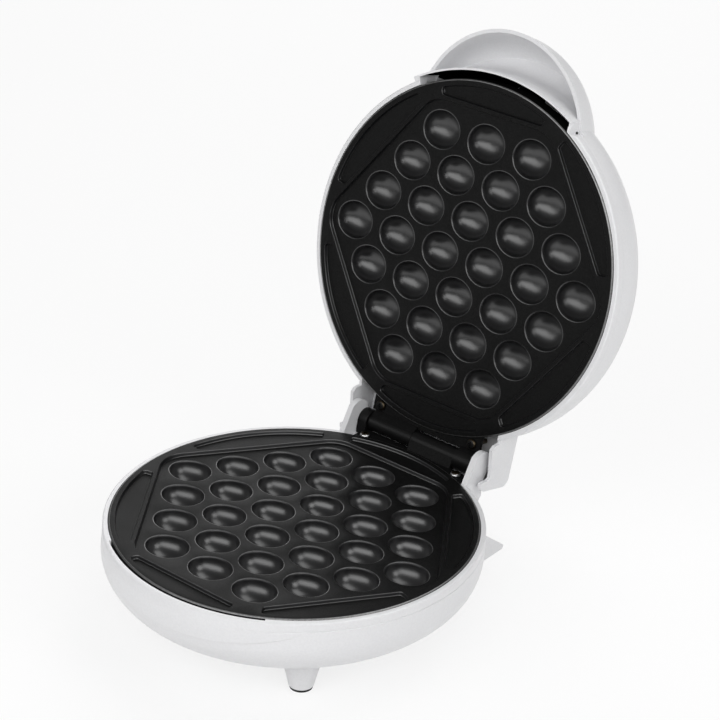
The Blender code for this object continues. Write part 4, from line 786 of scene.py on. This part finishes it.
def in_cell(point):
    for centre in cell_centres():
        across = (point.x - centre[0]) / (CELL_HALF_WIDTH + CELL_ROUND)
        along = (point.y - centre[1]) / (CELL_HALF_LENGTH + CELL_ROUND)
        if across ** 2 + along ** 2 < 1:
            return True
    return False


# Moulded shells

def bowl_point(radius, shoulder, depth, fullness, turn):
    """A point on a full, rounded bowl, at a turn down from its shoulder."""
    power = 2 / fullness
    return radius * cos(turn) ** power, -shoulder - depth * sin(turn) ** power


def rounded_profile(radius, shoulder, depth, fullness, count, flat_share=SHELL_FLAT_SHARE):
    """Points down a full, rounded bowl from its shoulder to its floor."""
    last = acos(flat_share ** (fullness / 2))
    turns = [last * index / count for index in range(count + 1)]
    return [bowl_point(radius, shoulder, depth, fullness, turn) for turn in turns]


def rim_profile():
    """The rounded rim, its band and the groove under it."""
    groove = SHELL_RADIUS - GROOVE_DEPTH
    return quarter_round(SHELL_RADIUS, RIM_DROP, RIM_ROUND, (0,) + ROUND_TURNS) + [
        (SHELL_RADIUS, -RIM_BAND), (groove, -RIM_BAND - GROOVE_DEPTH / 2),
        (groove, -RIM_BAND - GROOVE_DEPTH)]


def room_profile(shoulder, depth, fullness):
    """The room inside a shell, with the ledge that the plate's skirt stands on."""
    mouth = PLATE_RADIUS + SEAT_GAP
    step = mouth - LEDGE_WIDTH
    ledge = PLATE_DEPTH + SEAT_GAP
    foot = ledge + LEDGE_HEIGHT
    inner = rounded_profile(
        SHELL_RADIUS - SHELL_WALL, shoulder, depth - SHELL_WALL, fullness, ROOM_POINTS, ROOM_FLAT_SHARE)
    below = [point for point in inner if point[1] < -foot - LEDGE_WIDTH / 2]
    return [(mouth, OVERRUN), (mouth, -ledge), (step, -ledge), (step, -foot)] + below


def sector_outline(inner, outer, half_angle, steps):
    """A stretch of a ring round the front, between two radii."""
    middle = -pi / 2
    outline = circle(outer, steps, (0, 0), middle - half_angle, 2 * half_angle)
    return outline + circle(inner, steps, (0, 0), middle + half_angle, -2 * half_angle)


def wall_outline(inner, outer, half_angle, side, steps):
    """A stretch of a ring round the front with one end radial and the other square across."""
    middle = -pi / 2
    outer_start = asin(side / outer)
    inner_start = asin(side / inner)
    outline = circle(outer, steps, (0, 0), middle - outer_start, outer_start + half_angle)
    return outline + circle(inner, steps, (0, 0), middle + half_angle, -half_angle - inner_start)


def lip_fade(angle):
    """How full the grip lip is at an angle from straight ahead."""
    share = angle / LIP_HALF_ANGLE
    return cos(share * pi / 2) ** LIP_FADE_POWER if abs(share) < 1 else 0.0


def lip_bulge(down):
    """Outward share of the lip at a share of its depth."""
    for (high, first), (low, second) in zip(LIP_SHARES, LIP_SHARES[1:]):
        if down <= low:
            return first + (second - first) * (down - high) / (low - high)
    return LIP_SHARES[-1][1]


def bowl_radius(depth):
    """Radius of the base's plain bowl at a depth."""
    below = max(depth - BASE_SHOULDER, 0) / BASE_BOWL_DEPTH
    return SHELL_RADIUS * max(1 - below ** BASE_FULLNESS, 0) ** (1 / BASE_FULLNESS)


def lip_column(fade):
    """Radii and heights down the grip lip and under it, where the lip is full by a share."""
    reach = LIP_REACH * fade
    lip_end = LIP_END_DEPTH + (LIP_DEPTH - LIP_END_DEPTH) * fade
    column = []
    for radius, height in rim_profile():
        down = (-height - RIM_DROP) / lip_end
        groove = max(SHELL_RADIUS - radius, 0) * (1 - fade) if -height > RIM_BAND else SHELL_RADIUS - radius
        column.append((SHELL_RADIUS - groove + reach * lip_bulge(down), height))
    top = RIM_BAND + 2 * GROOVE_DEPTH
    end = lip_end + RIM_DROP
    for row in range(LIP_ROWS + 1):
        depth = top + (end - top) * row / LIP_ROWS
        column.append((bowl_radius(depth) + reach * lip_bulge((depth - RIM_DROP) / lip_end), -depth))
    for share, stay in LIP_UNDERCUT_SHARES:
        depth = end + share * (LIP_UNDERCUT * fade + SEAT_GAP)
        column.append((bowl_radius(depth) + reach * LIP_SHARES[-1][1] * stay, -depth))
    return column


def base_column(angle):
    """Radii and heights down the outside of the base at an angle from straight ahead."""
    column = lip_column(lip_fade(angle))
    start = max(-column[-1][1] - BASE_SHOULDER, 0) / BASE_BOWL_DEPTH
    first = asin(start ** (BASE_FULLNESS / 2))
    last = acos(SHELL_FLAT_SHARE ** (BASE_FULLNESS / 2))
    for row in range(1, SHELL_POINTS + 1):
        column.append(bowl_point(SHELL_RADIUS, *BASE_FORM, first + (last - first) * row / SHELL_POINTS))
    return column


def base_point(angle, radius, height):
    """A point on the outside of the base, with the slight swell of its front below the rim."""
    x = radius * sin(angle)
    y = -radius * cos(angle)
    if y < 0:
        fade = min(max((-height - RIM_BAND) / BASE_SHOULDER, 0), 1)
        proud = max(radius - bowl_radius(-height), 0) / LIP_REACH
        y *= 1 + fade * (1 - proud) * BASE_FRONT_SWELL / SHELL_RADIUS
    return x, y, height


def base_bowl():
    """The outside of the base, with its grip lip."""
    angles = [FULL_TURN * index / SHELL_STEPS - pi for index in range(SHELL_STEPS)]
    columns = [base_column(angle) for angle in angles]
    rings = []
    for row in zip(*columns):
        rings.append([base_point(angle, *point) for angle, point in zip(angles, row)])
    return add_rings(bmesh.new(), rings)


def foot_centres():
    centres = []
    for end, reach, turn in FEET:
        for label, side in (("_left", -1), ("_right", 1)):
            centres.append((end + label, (side * abs(reach) * sin(turn), reach * cos(turn))))
    return centres


def lug_outline():
    """A lug's side: its foot on the shelf, a slope up the front and a round nose over the pin."""
    nose = (HINGE_BACK - LUG_NOSE_FORWARD, HINGE_HEIGHT + LUG_NOSE_RISE)
    nose_arc = circle(LUG_NOSE_RADIUS, COVER_STEPS * 2, nose, *LUG_NOSE_ARC)
    arc = [(min(back, HINGE_BACK + LUG_REAR), height) for back, height in nose_arc]
    low = -SHELF_TOP - SHELF_HEIGHT / 2
    return [(LUG_FOOT_BACK, low), (SHELF_BACK - OVERRUN, low), (SHELF_BACK, -SHELF_TOP)] + arc + [
        (LUG_FOOT_BACK, HINGE_HEIGHT - LUG_NOSE_RISE / 2)]


def heel_outline():
    """A heel's side: it slopes down and back to a blunt round tip."""
    middle = (HEEL_TIP_BACK - HEEL_TIP_ROUND, -HEEL_TIP_DEPTH - HEEL_TIP_HEIGHT / 2)
    tip = circle(HEEL_TIP_ROUND, COVER_STEPS, middle, *HEEL_TIP_ARC)
    return [(HEEL_ROOT, -HEEL_TOP_DEPTH), (HEEL_ROOT, -HEEL_TIP_DEPTH - HEEL_UNDER_DROP)] + tip + [
        (HEEL_TOP_BACK, -HEEL_TOP_DEPTH)]


def post_centres():
    centres = []
    for turn in POST_ANGLES:
        centres.append((POST_CIRCLE_RADIUS * cos(turn), POST_CIRCLE_RADIUS * sin(turn)))
    return centres


def standing_forms():
    """The four legs and the boss of the cord gland."""
    forms = bmesh.new()
    leg = [
        (FOOT_TOP_RADIUS, -FOOT_ROOT_DEPTH), (FOOT_TOP_RADIUS, -FOOT_SHOULDER_DEPTH),
        (FOOT_MIDDLE_RADIUS, -FOOT_MIDDLE_DEPTH),
        (FOOT_BOTTOM_RADIUS, -FOOT_HEIGHT + PAD_THICKNESS + SEAT_GAP)]
    for _, centre in foot_centres():
        add_turned(forms, leg, ROUND_STEPS, centre)
    add_drum_y(forms, GLAND_BOSS_RADIUS, GLAND_ROOT, GLAND_BOSS_BACK, -GLAND_DEPTH)
    return forms


def shelf_form():
    """The shelf under the hinge, with a chamfer along its lower back edge."""
    low = -SHELF_TOP - SHELF_HEIGHT
    return add_bar(bmesh.new(), [
        (SHELF_ROOT, -SHELF_TOP), (SHELF_BACK, -SHELF_TOP), (SHELF_BACK, low),
        (SHELF_BACK - SHELF_TAPER, low - SHELF_TAPER), (SHELF_ROOT, low - SHELF_TAPER)],
        -SHELF_HALF_WIDTH, SHELF_HALF_WIDTH)


def side_forms():
    """The lugs beside the hinge and the heels below them."""
    forms = bmesh.new()
    for side in (-1, 1):
        add_bar(forms, lug_outline(), *sorted((side * LUG_INNER, side * SHELF_HALF_WIDTH)))
        middle = side * HEEL_SIDE
        add_bar(forms, heel_outline(), middle - HEEL_THICKNESS / 2, middle + HEEL_THICKNESS / 2)
    return forms


def base_hollows():
    """The gap round the front of the plate and the hinge's bay."""
    hollows = add_prism(
        bmesh.new(),
        sector_outline(PLATE_RADIUS - OVERRUN, FRONT_GAP_RADIUS, FRONT_GAP_HALF_ANGLE, FRONT_STEPS),
        -PLATE_DEPTH - SEAT_GAP, OVERRUN)
    return add_box(
        hollows, (-LUG_INNER, LUG_INNER), (SHELF_ROOT, SHELF_BACK + OVERRUN), (-SHELF_TOP, OVERRUN))


def boss_forms():
    """The screw bosses inside the base, and the recesses under them with the gland's hole."""
    floor = BASE_SHOULDER + BASE_BOWL_DEPTH - SHELL_WALL
    boss = [(BOSS_RADIUS, -floor - SHELL_WALL / 2), (BOSS_RADIUS, -BOSS_END)]
    recess = [
        (BOSS_RECESS_RADIUS, -floor - 2 * SHELL_WALL), (BOSS_RECESS_RADIUS, -BOSS_END - BOSS_RECESS_ROOF)]
    bosses = bmesh.new()
    recesses = bmesh.new()
    for centre in post_centres():
        add_turned(bosses, boss, ROUND_STEPS, centre)
        add_turned(recesses, recess, ROUND_STEPS, centre)
    add_drum_y(recesses, GLAND_HOLE_RADIUS, GLAND_ROOT - OVERRUN, GLAND_BOSS_BACK + OVERRUN, -GLAND_DEPTH)
    return bosses, recesses


def make_base_shell():
    room = add_turned(bmesh.new(), room_profile(*BASE_FORM), SHELL_STEPS)
    bosses, recesses = boss_forms()
    shell = carve("base_shell", base_bowl(), BASE_MATRIX, [
        ("UNION", standing_forms()), ("UNION", shelf_form()), ("UNION", side_forms()), ("DIFFERENCE", room),
        ("DIFFERENCE", base_hollows()), ("UNION", bosses), ("DIFFERENCE", recesses)])
    soften(shell, EDGE_ROUND)
    dress(shell, "base", "base_housing", "white_housing")


def hood_form(inset):
    """The hood's dome, hanging from its rim plane and inset by a wall where it is a hollow."""
    radius = HOOD_RADIUS - inset
    rim = -HOOD_RIM_DEPTH + (OVERRUN if inset else 0)
    dome = rounded_profile(
        radius, HOOD_RIM_DEPTH + HOOD_SHOULDER, HOOD_RISE - inset, HOOD_FULLNESS, HOOD_POINTS,
        HOOD_FLAT_SHARE)
    hood = add_turned(bmesh.new(), [(radius, rim)] + dome, HOOD_STEPS, (0, -HOOD_CENTRE))
    for vert in hood.verts:
        vert.co.y -= (vert.co.z + HOOD_RIM_DEPTH) * HOOD_RAKE_SHARE
    return hood


def cover_outline():
    """Side view of the lid's rear cover, drawn in the lid half's own frame."""
    notch = [(HINGE_BACK + back * MM, LID_AXIS_HEIGHT + rise * MM) for back, rise in COVER_NOTCH]
    back = COVER_BACK - COVER_ROUND
    corners = []
    for height, start in ((COVER_TAB_RISE - COVER_ROUND, pi / 2), (-COVER_TOP_DEPTH + COVER_ROUND, 0)):
        corners += circle(COVER_ROUND, COVER_STEPS, (back, height), start, -pi / 2)
    return [(COVER_ROOT, LID_AXIS_HEIGHT)] + notch + corners + [(COVER_ROOT, -COVER_TOP_DEPTH)]


def cover_room_outline():
    back = COVER_BACK - COVER_WALL
    roof = -COVER_TOP_DEPTH + COVER_WALL
    inner = COVER_ROUND - COVER_WALL
    high = COVER_TAB_RISE + OVERRUN
    top = circle(inner, COVER_STEPS, (back - inner, roof + inner), -pi / 2, pi / 2)
    return [(COVER_ROOT - OVERRUN, high), (COVER_ROOT - OVERRUN, roof)] + top + [
        (back, -COVER_SKIRT_RISE), (COVER_BACK + OVERRUN, -COVER_SKIRT_RISE), (COVER_BACK + OVERRUN, high)]


def partition_profile():
    """Section of the wall between gap and scoop, which sweeps out into the scoop's floor."""
    face = LID_GAP_RADIUS + FRONT_WALL - SCOOP_TRIM
    foot = -HOOD_FLOOR - OVERRUN
    cove = circle(COVE_RADIUS, COVE_STEPS, (face + COVE_RADIUS, -COVE_TOP_DEPTH), pi, pi / 2)
    return [(LID_GAP_RADIUS, foot), (LID_GAP_RADIUS, 2 * OVERRUN), (face, 2 * OVERRUN)] + cove + [
        (face + COVE_RADIUS, foot)]


def lid_hollows():
    """The gap round the front of the plate, the cover's room and the lamps' holes."""
    hollows = add_prism(
        bmesh.new(), wall_outline(
            PLATE_RADIUS - OVERRUN, LID_GAP_RADIUS, LID_GAP_HALF_ANGLE, SQUARE_END_SIDE - SQUARE_END_WALL,
            FRONT_STEPS),
        -LID_GAP_DEPTH, OVERRUN)
    add_box(
        hollows, (-SQUARE_END_NOTCH, -SQUARE_END_SIDE), (-SHELL_RADIUS - LID_GAP_DEPTH, -SQUARE_END_FRONT),
        (-HOOD_RIM_DEPTH, OVERRUN))
    add_bar(hollows, cover_room_outline(), -COVER_HALF_WIDTH + COVER_WALL, COVER_HALF_WIDTH - COVER_WALL)
    hole = [
        (LENS_RADIUS + SEAT_GAP, -LID_SHOULDER - LID_BOWL_DEPTH - OVERRUN),
        (LENS_RADIUS + SEAT_GAP, -LID_SHOULDER - LID_BOWL_DEPTH / 2)]
    for side in (-1, 1):
        add_turned(hollows, hole, ROUND_STEPS, (side * LAMP_SIDE, -LAMP_FORWARD))
    return hollows


def make_lid_shell():
    dome = add_turned(
        bmesh.new(), rim_profile() + rounded_profile(SHELL_RADIUS, *LID_FORM, SHELL_POINTS), SHELL_STEPS)
    front = add_prism(
        bmesh.new(), wall_outline(
            PLATE_RADIUS - OVERRUN, LID_GAP_RADIUS + FRONT_WALL, FRONT_WALL_HALF_ANGLE, SQUARE_END_SIDE,
            FRONT_STEPS),
        -HOOD_RIM_DEPTH - OVERRUN, -FRONT_WALL_DROP)
    cover = add_bar(bmesh.new(), cover_outline(), -COVER_HALF_WIDTH, COVER_HALF_WIDTH)
    room = add_turned(bmesh.new(), room_profile(*LID_FORM), SHELL_STEPS)
    partition = add_hoop(bmesh.new(), partition_profile(), SHELL_STEPS)
    scoop = carve("scoop_form", hood_form(HOOD_WALL), LID_MATRIX, [("DIFFERENCE", partition)])
    shell = carve("lid_shell", dome, LID_MATRIX, [
        ("UNION", front), ("UNION", hood_form(0.0)), ("UNION", cover), ("DIFFERENCE", room),
        ("DIFFERENCE", scoop), ("DIFFERENCE", lid_hollows())])
    soften(shell, EDGE_ROUND)
    # Faces deep in the front gap get near-black paint: painted shade
    repaint(shell, LID_MATRIX, in_lid_gap_shade)
    dress(shell, "lid", "lid_housing", "white_housing", "white_housing", "gap_shade")


def in_lid_gap_shade(point, normal):
    """Whether a face lines the gap between the plate and the front wall, where the gap's shade is painted on as
    black.
    """
    outward = hypot(point.x, point.y)
    in_ring = PLATE_INNER_RADIUS < outward < LID_GAP_RADIUS + GAP_SHADE_SLACK
    in_depth = -HOOD_FLOOR < point.z < -FRONT_WALL_DROP - EDGE_ROUND - GAP_SHADE_SLACK
    square_end = SQUARE_END_WALL - SQUARE_END_SIDE + SEAT_GAP
    between_ends = square_end < point.x < outward * sin(LID_GAP_HALF_ANGLE - GAP_SHADE_END_ANGLE)
    return in_ring and in_depth and between_ends and point.y < 0 and normal.z > GAP_SHADE_FACING


# Hinge

def hull_chain(points):
    """One side of the hull of sorted points, without its last point."""
    chain = []
    for point in points:
        while len(chain) > 1 and turn_of(chain[-2], chain[-1], point) <= 0:
            chain.pop()
        chain.append(point)
    return chain[:-1]


def knuckle_outline(axis, radius, level):
    """The round knuckle and the web that runs forward from it into the leaf."""
    root = BRACKET_BACK - SEAT_GAP
    web = [(root, level), (root, level - BRACKET_SHEET)]
    points = sorted(set(circle(radius, ROUND_STEPS, axis) + web))
    return hull_chain(points) + hull_chain(points[::-1])


def turn_of(start, middle, end):
    return (middle[0] - start[0]) * (end[1] - start[1]) - (middle[1] - start[1]) * (end[0] - start[0])


def make_bracket(half, axis_height, barrel, knuckle, facing, reach):
    """A leaf with a barrel and an end knuckle, and a tongue that faces the other bracket's barrel."""
    level = -BRACKET_DROP
    arch = PLATE_RADIUS + SEAT_GAP
    start = acos(BRACKET_HALF_WIDTH / arch)
    outline = circle(arch, ROUND_STEPS, (0, 0), start, pi - 2 * start) + [
        (-BRACKET_HALF_WIDTH, BRACKET_BACK), (facing[0], BRACKET_BACK), (facing[0], reach),
        (facing[1], reach), (facing[1], BRACKET_BACK), (BRACKET_HALF_WIDTH, BRACKET_BACK)]
    leaf = add_prism(bmesh.new(), outline, level - BRACKET_SHEET, level)
    axis = (HINGE_BACK, axis_height)
    steps = []
    for span, radius in ((barrel, BARREL_RADIUS), (knuckle, KNUCKLE_RADIUS)):
        steps.append(("UNION", add_bar(bmesh.new(), knuckle_outline(axis, radius, level), *span)))
    bore = circle(PIN_RADIUS + PIN_CLEARANCE, ROUND_STEPS, axis)
    steps.append(("DIFFERENCE", add_bar(bmesh.new(), bore, -2 * HINGE_REACH, 2 * HINGE_REACH)))
    bracket = soften(carve(half + "_bracket", leaf, HALVES[half], steps), METAL_ROUND)

    # Faces off the barrel, the web under it, take the plates' duller black coating: painted shade on this one
    # black-painted piece
    def shaded_off_barrel(point, normal):
        spoke = Vector((0, point.y - HINGE_BACK, point.z - axis_height)).normalized()
        return normal.dot(spoke) < BARREL_FACING

    repaint(bracket, HALVES[half], shaded_off_barrel)
    dress(bracket, half, half + "_hinge_bracket", "black_hinge", "black_hinge", "black_coating")


def make_brackets():
    gap = SEAT_GAP / 2
    room = BARREL_RADIUS + BARREL_CLEARANCE
    drop = HINGE_HEIGHT + BRACKET_DROP
    make_bracket(
        "base", HINGE_HEIGHT, (MIDDLE_SEAM + gap, RIGHT_SEAM - gap), (-HINGE_REACH, LEFT_SEAM - gap),
        (LEFT_SEAM, MIDDLE_SEAM), HINGE_BACK - sqrt(room ** 2 - drop ** 2))
    make_bracket(
        "lid", LID_AXIS_HEIGHT, (-MIDDLE_SEAM + gap, -LEFT_SEAM - gap), (-HINGE_REACH, -RIGHT_SEAM - gap),
        (-RIGHT_SEAM, -MIDDLE_SEAM), HINGE_BACK - BARREL_RADIUS - 2 * BARREL_CLEARANCE)


def make_pin():
    outline = circle(PIN_RADIUS, ROUND_STEPS, (HINGE_BACK, HINGE_HEIGHT))
    shape = add_bar(bmesh.new(), outline, -HINGE_REACH, HINGE_REACH)
    pin = soften(new_mesh_object("pin_rod", shape, BASE_MATRIX), METAL_ROUND)
    dress(pin, "base", "hinge_pin", "steel")


def screw_profile(level):
    """A screw's domed head, standing on a level, and its plain shank."""
    profile = []
    for turn in SCREW_CROWN_TURNS:
        angle = turn * DEGREE
        profile.append((
            SCREW_HEAD_RADIUS * (SCREW_FLAT_SHARE + (1 - SCREW_FLAT_SHARE) * cos(angle)),
            level + SCREW_HEAD_HEIGHT * (SCREW_SIDE_SHARE + (1 - SCREW_SIDE_SHARE) * sin(angle))))
    return profile + [
        (SCREW_HEAD_RADIUS, level), (SCREW_SHANK_RADIUS, level),
        (SCREW_SHANK_RADIUS, level - HINGE_SCREW_LENGTH)]


def make_screw(half, label, side, rim, dish):
    """A domed pan head with a cross recess on a plain shank."""
    middle = side * HINGE_SCREW_SIDE
    level = -BRACKET_DROP + SEAT_GAP
    top = level + SCREW_HEAD_HEIGHT
    shape = add_turned(bmesh.new(), screw_profile(level), SCREW_STEPS, (middle, HINGE_SCREW_BACK))
    cuts = []
    for wide, deep in ((CROSS_WIDTH / 2, CROSS_REACH), (CROSS_REACH, CROSS_WIDTH / 2)):
        cuts.append(("DIFFERENCE", add_box(
            bmesh.new(), (middle - wide, middle + wide), (HINGE_SCREW_BACK - deep, HINGE_SCREW_BACK + deep),
            (top - CROSS_DEPTH, top + OVERRUN))))
    screw = shade(carve(half + "_screw_" + label, shape, HALVES[half], cuts), CREASE_ANGLE)

    # The dished top of each head is painted darker than its rim: a painted dark reflection on the base's screws,
    # painted shade on the lid's
    def in_dish(point, _):
        outward = hypot(point.x - middle, point.y - HINGE_SCREW_BACK)
        inside = outward < SCREW_DISH_SHARE * SCREW_HEAD_RADIUS
        return inside and point.z > level + SCREW_HEAD_HEIGHT * SCREW_SIDE_SHARE

    repaint(screw, HALVES[half], in_dish)
    dress(screw, half, half + "_hinge_screw_" + label, "steel", rim, dish)


def make_screws():
    # The lid's screws, the same as the base's, are painted darker all over: painted shade
    for label, side in (("left", -1), ("right", 1)):
        make_screw("base", label, side, "steel", "steel_shade_reflection")
        make_screw("lid", label, side, "steel_shade_reflection", "black_hinge")


def make_pads():
    profile = [(PAD_RADIUS, -FOOT_HEIGHT + PAD_THICKNESS), (PAD_RADIUS, -FOOT_HEIGHT)]
    for label, centre in foot_centres():
        shape = add_turned(bmesh.new(), profile, ROUND_STEPS, centre)
        pad = soften(new_mesh_object(label + "_pad", shape, BASE_MATRIX), METAL_ROUND)
        dress(pad, "base", label + "_foot_pad", "black_rubber")


def make_gland():
    """A flanged rubber bush with the bore for the mains lead."""
    seat = GLAND_BOSS_BACK + SEAT_GAP
    neck = GLAND_HOLE_RADIUS - SEAT_GAP
    shape = add_hoop(bmesh.new(), [
        (GLAND_BORE_RADIUS, GLAND_ROOT), (neck, GLAND_ROOT), (neck, seat), (GLAND_FLANGE_RADIUS, seat),
        (GLAND_FLANGE_RADIUS, seat + GLAND_FLANGE), (GLAND_BORE_RADIUS, seat + GLAND_FLANGE)], ROUND_STEPS)
    place = BASE_MATRIX @ Matrix.Translation((0, 0, -GLAND_DEPTH)) @ LAID_DOWN.to_4x4()
    gland = soften(new_mesh_object("cord_bush", shape, place), METAL_ROUND)
    dress(gland, "base", "cord_gland", "black_rubber")


def lens_profile(flange, crown):
    """A lens cap's flange at one height and its crowned face, which starts at another."""
    profile = [
        (LENS_FLANGE_RADIUS, flange), (LENS_FLANGE_RADIUS, flange - LENS_FLANGE),
        (LENS_RADIUS, flange - LENS_FLANGE)]
    for turn in LENS_TURNS:
        angle = turn * DEGREE
        profile.append((
            LENS_RADIUS * cos(angle) ** LENS_CROWN_POWER, crown + LENS_PROUD * (1 - sin(angle))))
    return profile


def make_lenses():
    """Two coloured caps, each on a flange behind the dome, with a crowned face just proud of it."""
    for label, side, colour in (("power", -1, "red"), ("ready", 1, "green")):
        node = label + "_lamp_lens"
        heights = [(LID_MATRIX.inverted() @ vert.co).z for vert in frame["nodes"][node].data.vertices]
        profile = lens_profile(max(heights), min(heights))
        shape = add_turned(bmesh.new(), profile, ROUND_STEPS, (side * LAMP_SIDE, -LAMP_FORWARD))
        lens = shade(new_mesh_object(label + "_lens_cap", shape, LID_MATRIX), CREASE_ANGLE)
        dress(lens, "lid", node, colour + "_lens")


def finish_nodes():
    """Give the carried-over nodes the finishes of their slots."""
    for part in frame["record"]["subparts"]:
        materials = frame["nodes"][part["node"]].data.materials
        materials.clear()
        materials.append(MATERIALS[part["material_slot"]])


# Camera, light and floor

def view_axes():
    """Right, up and backward directions of the camera."""
    turn, tilt = CAMERA_AZIMUTH, CAMERA_ELEVATION
    back = Vector((sin(turn) * cos(tilt), -cos(turn) * cos(tilt), sin(tilt)))
    level = Vector((cos(turn), sin(turn), 0))
    upright = back.cross(level)
    right = level * cos(CAMERA_ROLL) + upright * sin(CAMERA_ROLL)
    up = upright * cos(CAMERA_ROLL) - level * sin(CAMERA_ROLL)
    return right, up, back


def make_camera():
    right, up, back = view_axes()
    data = bpy.data.cameras.new("camera")
    data.sensor_width = SENSOR
    data.lens = SENSOR * FOCAL_PIXELS / IMAGE_PIXELS
    camera = add_object("camera", data)
    place = ORIGIN - right * CAMERA_ASIDE - up * CAMERA_ABOVE + back * CAMERA_DISTANCE
    turn = Matrix((right, up, back)).transposed()
    camera.matrix_world = Matrix.Translation(place) @ turn.to_4x4()
    bpy.context.scene.camera = camera


def add_softbox(name, place, size, watts):
    """A soft lamp that faces the object."""
    data = bpy.data.lights.new(name, "AREA")
    data.shape = "RECTANGLE"
    data.size, data.size_y = size
    data.energy = watts
    lamp = add_object(name, data)
    lamp.location = place
    lamp.rotation_euler = (Vector(LAMP_AIM) - Vector(place)).to_track_quat("-Z", "Y").to_euler()


def make_room():
    """An even, dim light from all sides."""
    world = bpy.data.worlds.new("studio")
    bpy.context.scene.world = world
    world.use_nodes = True
    tree = world.node_tree
    wire(tree, tree.nodes["Background"], {"Color": (1, 1, 1, 1), "Strength": ROOM_STRENGTH}, {})


def make_floor():
    """A pale floor, whose seen and mirrored colour is lifted towards white."""
    material, tree, shader = new_material("pale_floor")
    values = {
        "Base Color": (*grey(FLOOR_GREY), 1), "Roughness": FLOOR_ROUGHNESS,
        "Specular IOR Level": FLOOR_SPECULAR}
    matt = wire(tree, shader, values, {}).outputs["BSDF"]
    glow = tree.nodes.new("ShaderNodeEmission").outputs["Emission"]
    rays = tree.nodes.new("ShaderNodeLightPath").outputs
    seen = rays["Is Camera Ray"]
    for kind in ("Is Glossy Ray", "Is Transmission Ray"):
        seen = add_math(tree, "MAXIMUM", {}, {0: seen, 1: rays[kind]})
    lift = add_math(tree, "MULTIPLY", {1: FLOOR_LIFT}, {0: seen})
    blend = wire(tree, tree.nodes.new("ShaderNodeMixShader"), {}, {"Fac": lift, 1: matt, 2: glow})
    wire(tree, tree.nodes["Material Output"], {}, {"Surface": blend.outputs["Shader"]})
    shape = bmesh.new()
    bmesh.ops.create_grid(shape, x_segments=1, y_segments=1, size=FLOOR_HALF)
    floor = new_mesh_object("floor", shape, Matrix.Identity(4))
    floor.data.materials.append(material)


finish_nodes()
make_camera()
make_room()
make_floor()
for softbox in SOFTBOXES:
    add_softbox(*softbox)
make_plate("base")
make_plate("lid")
make_base_shell()
make_lid_shell()
make_brackets()
make_pin()
make_screws()
make_pads()
make_gland()
make_lenses()

bpy.context.scene.view_settings.view_transform = "Standard"
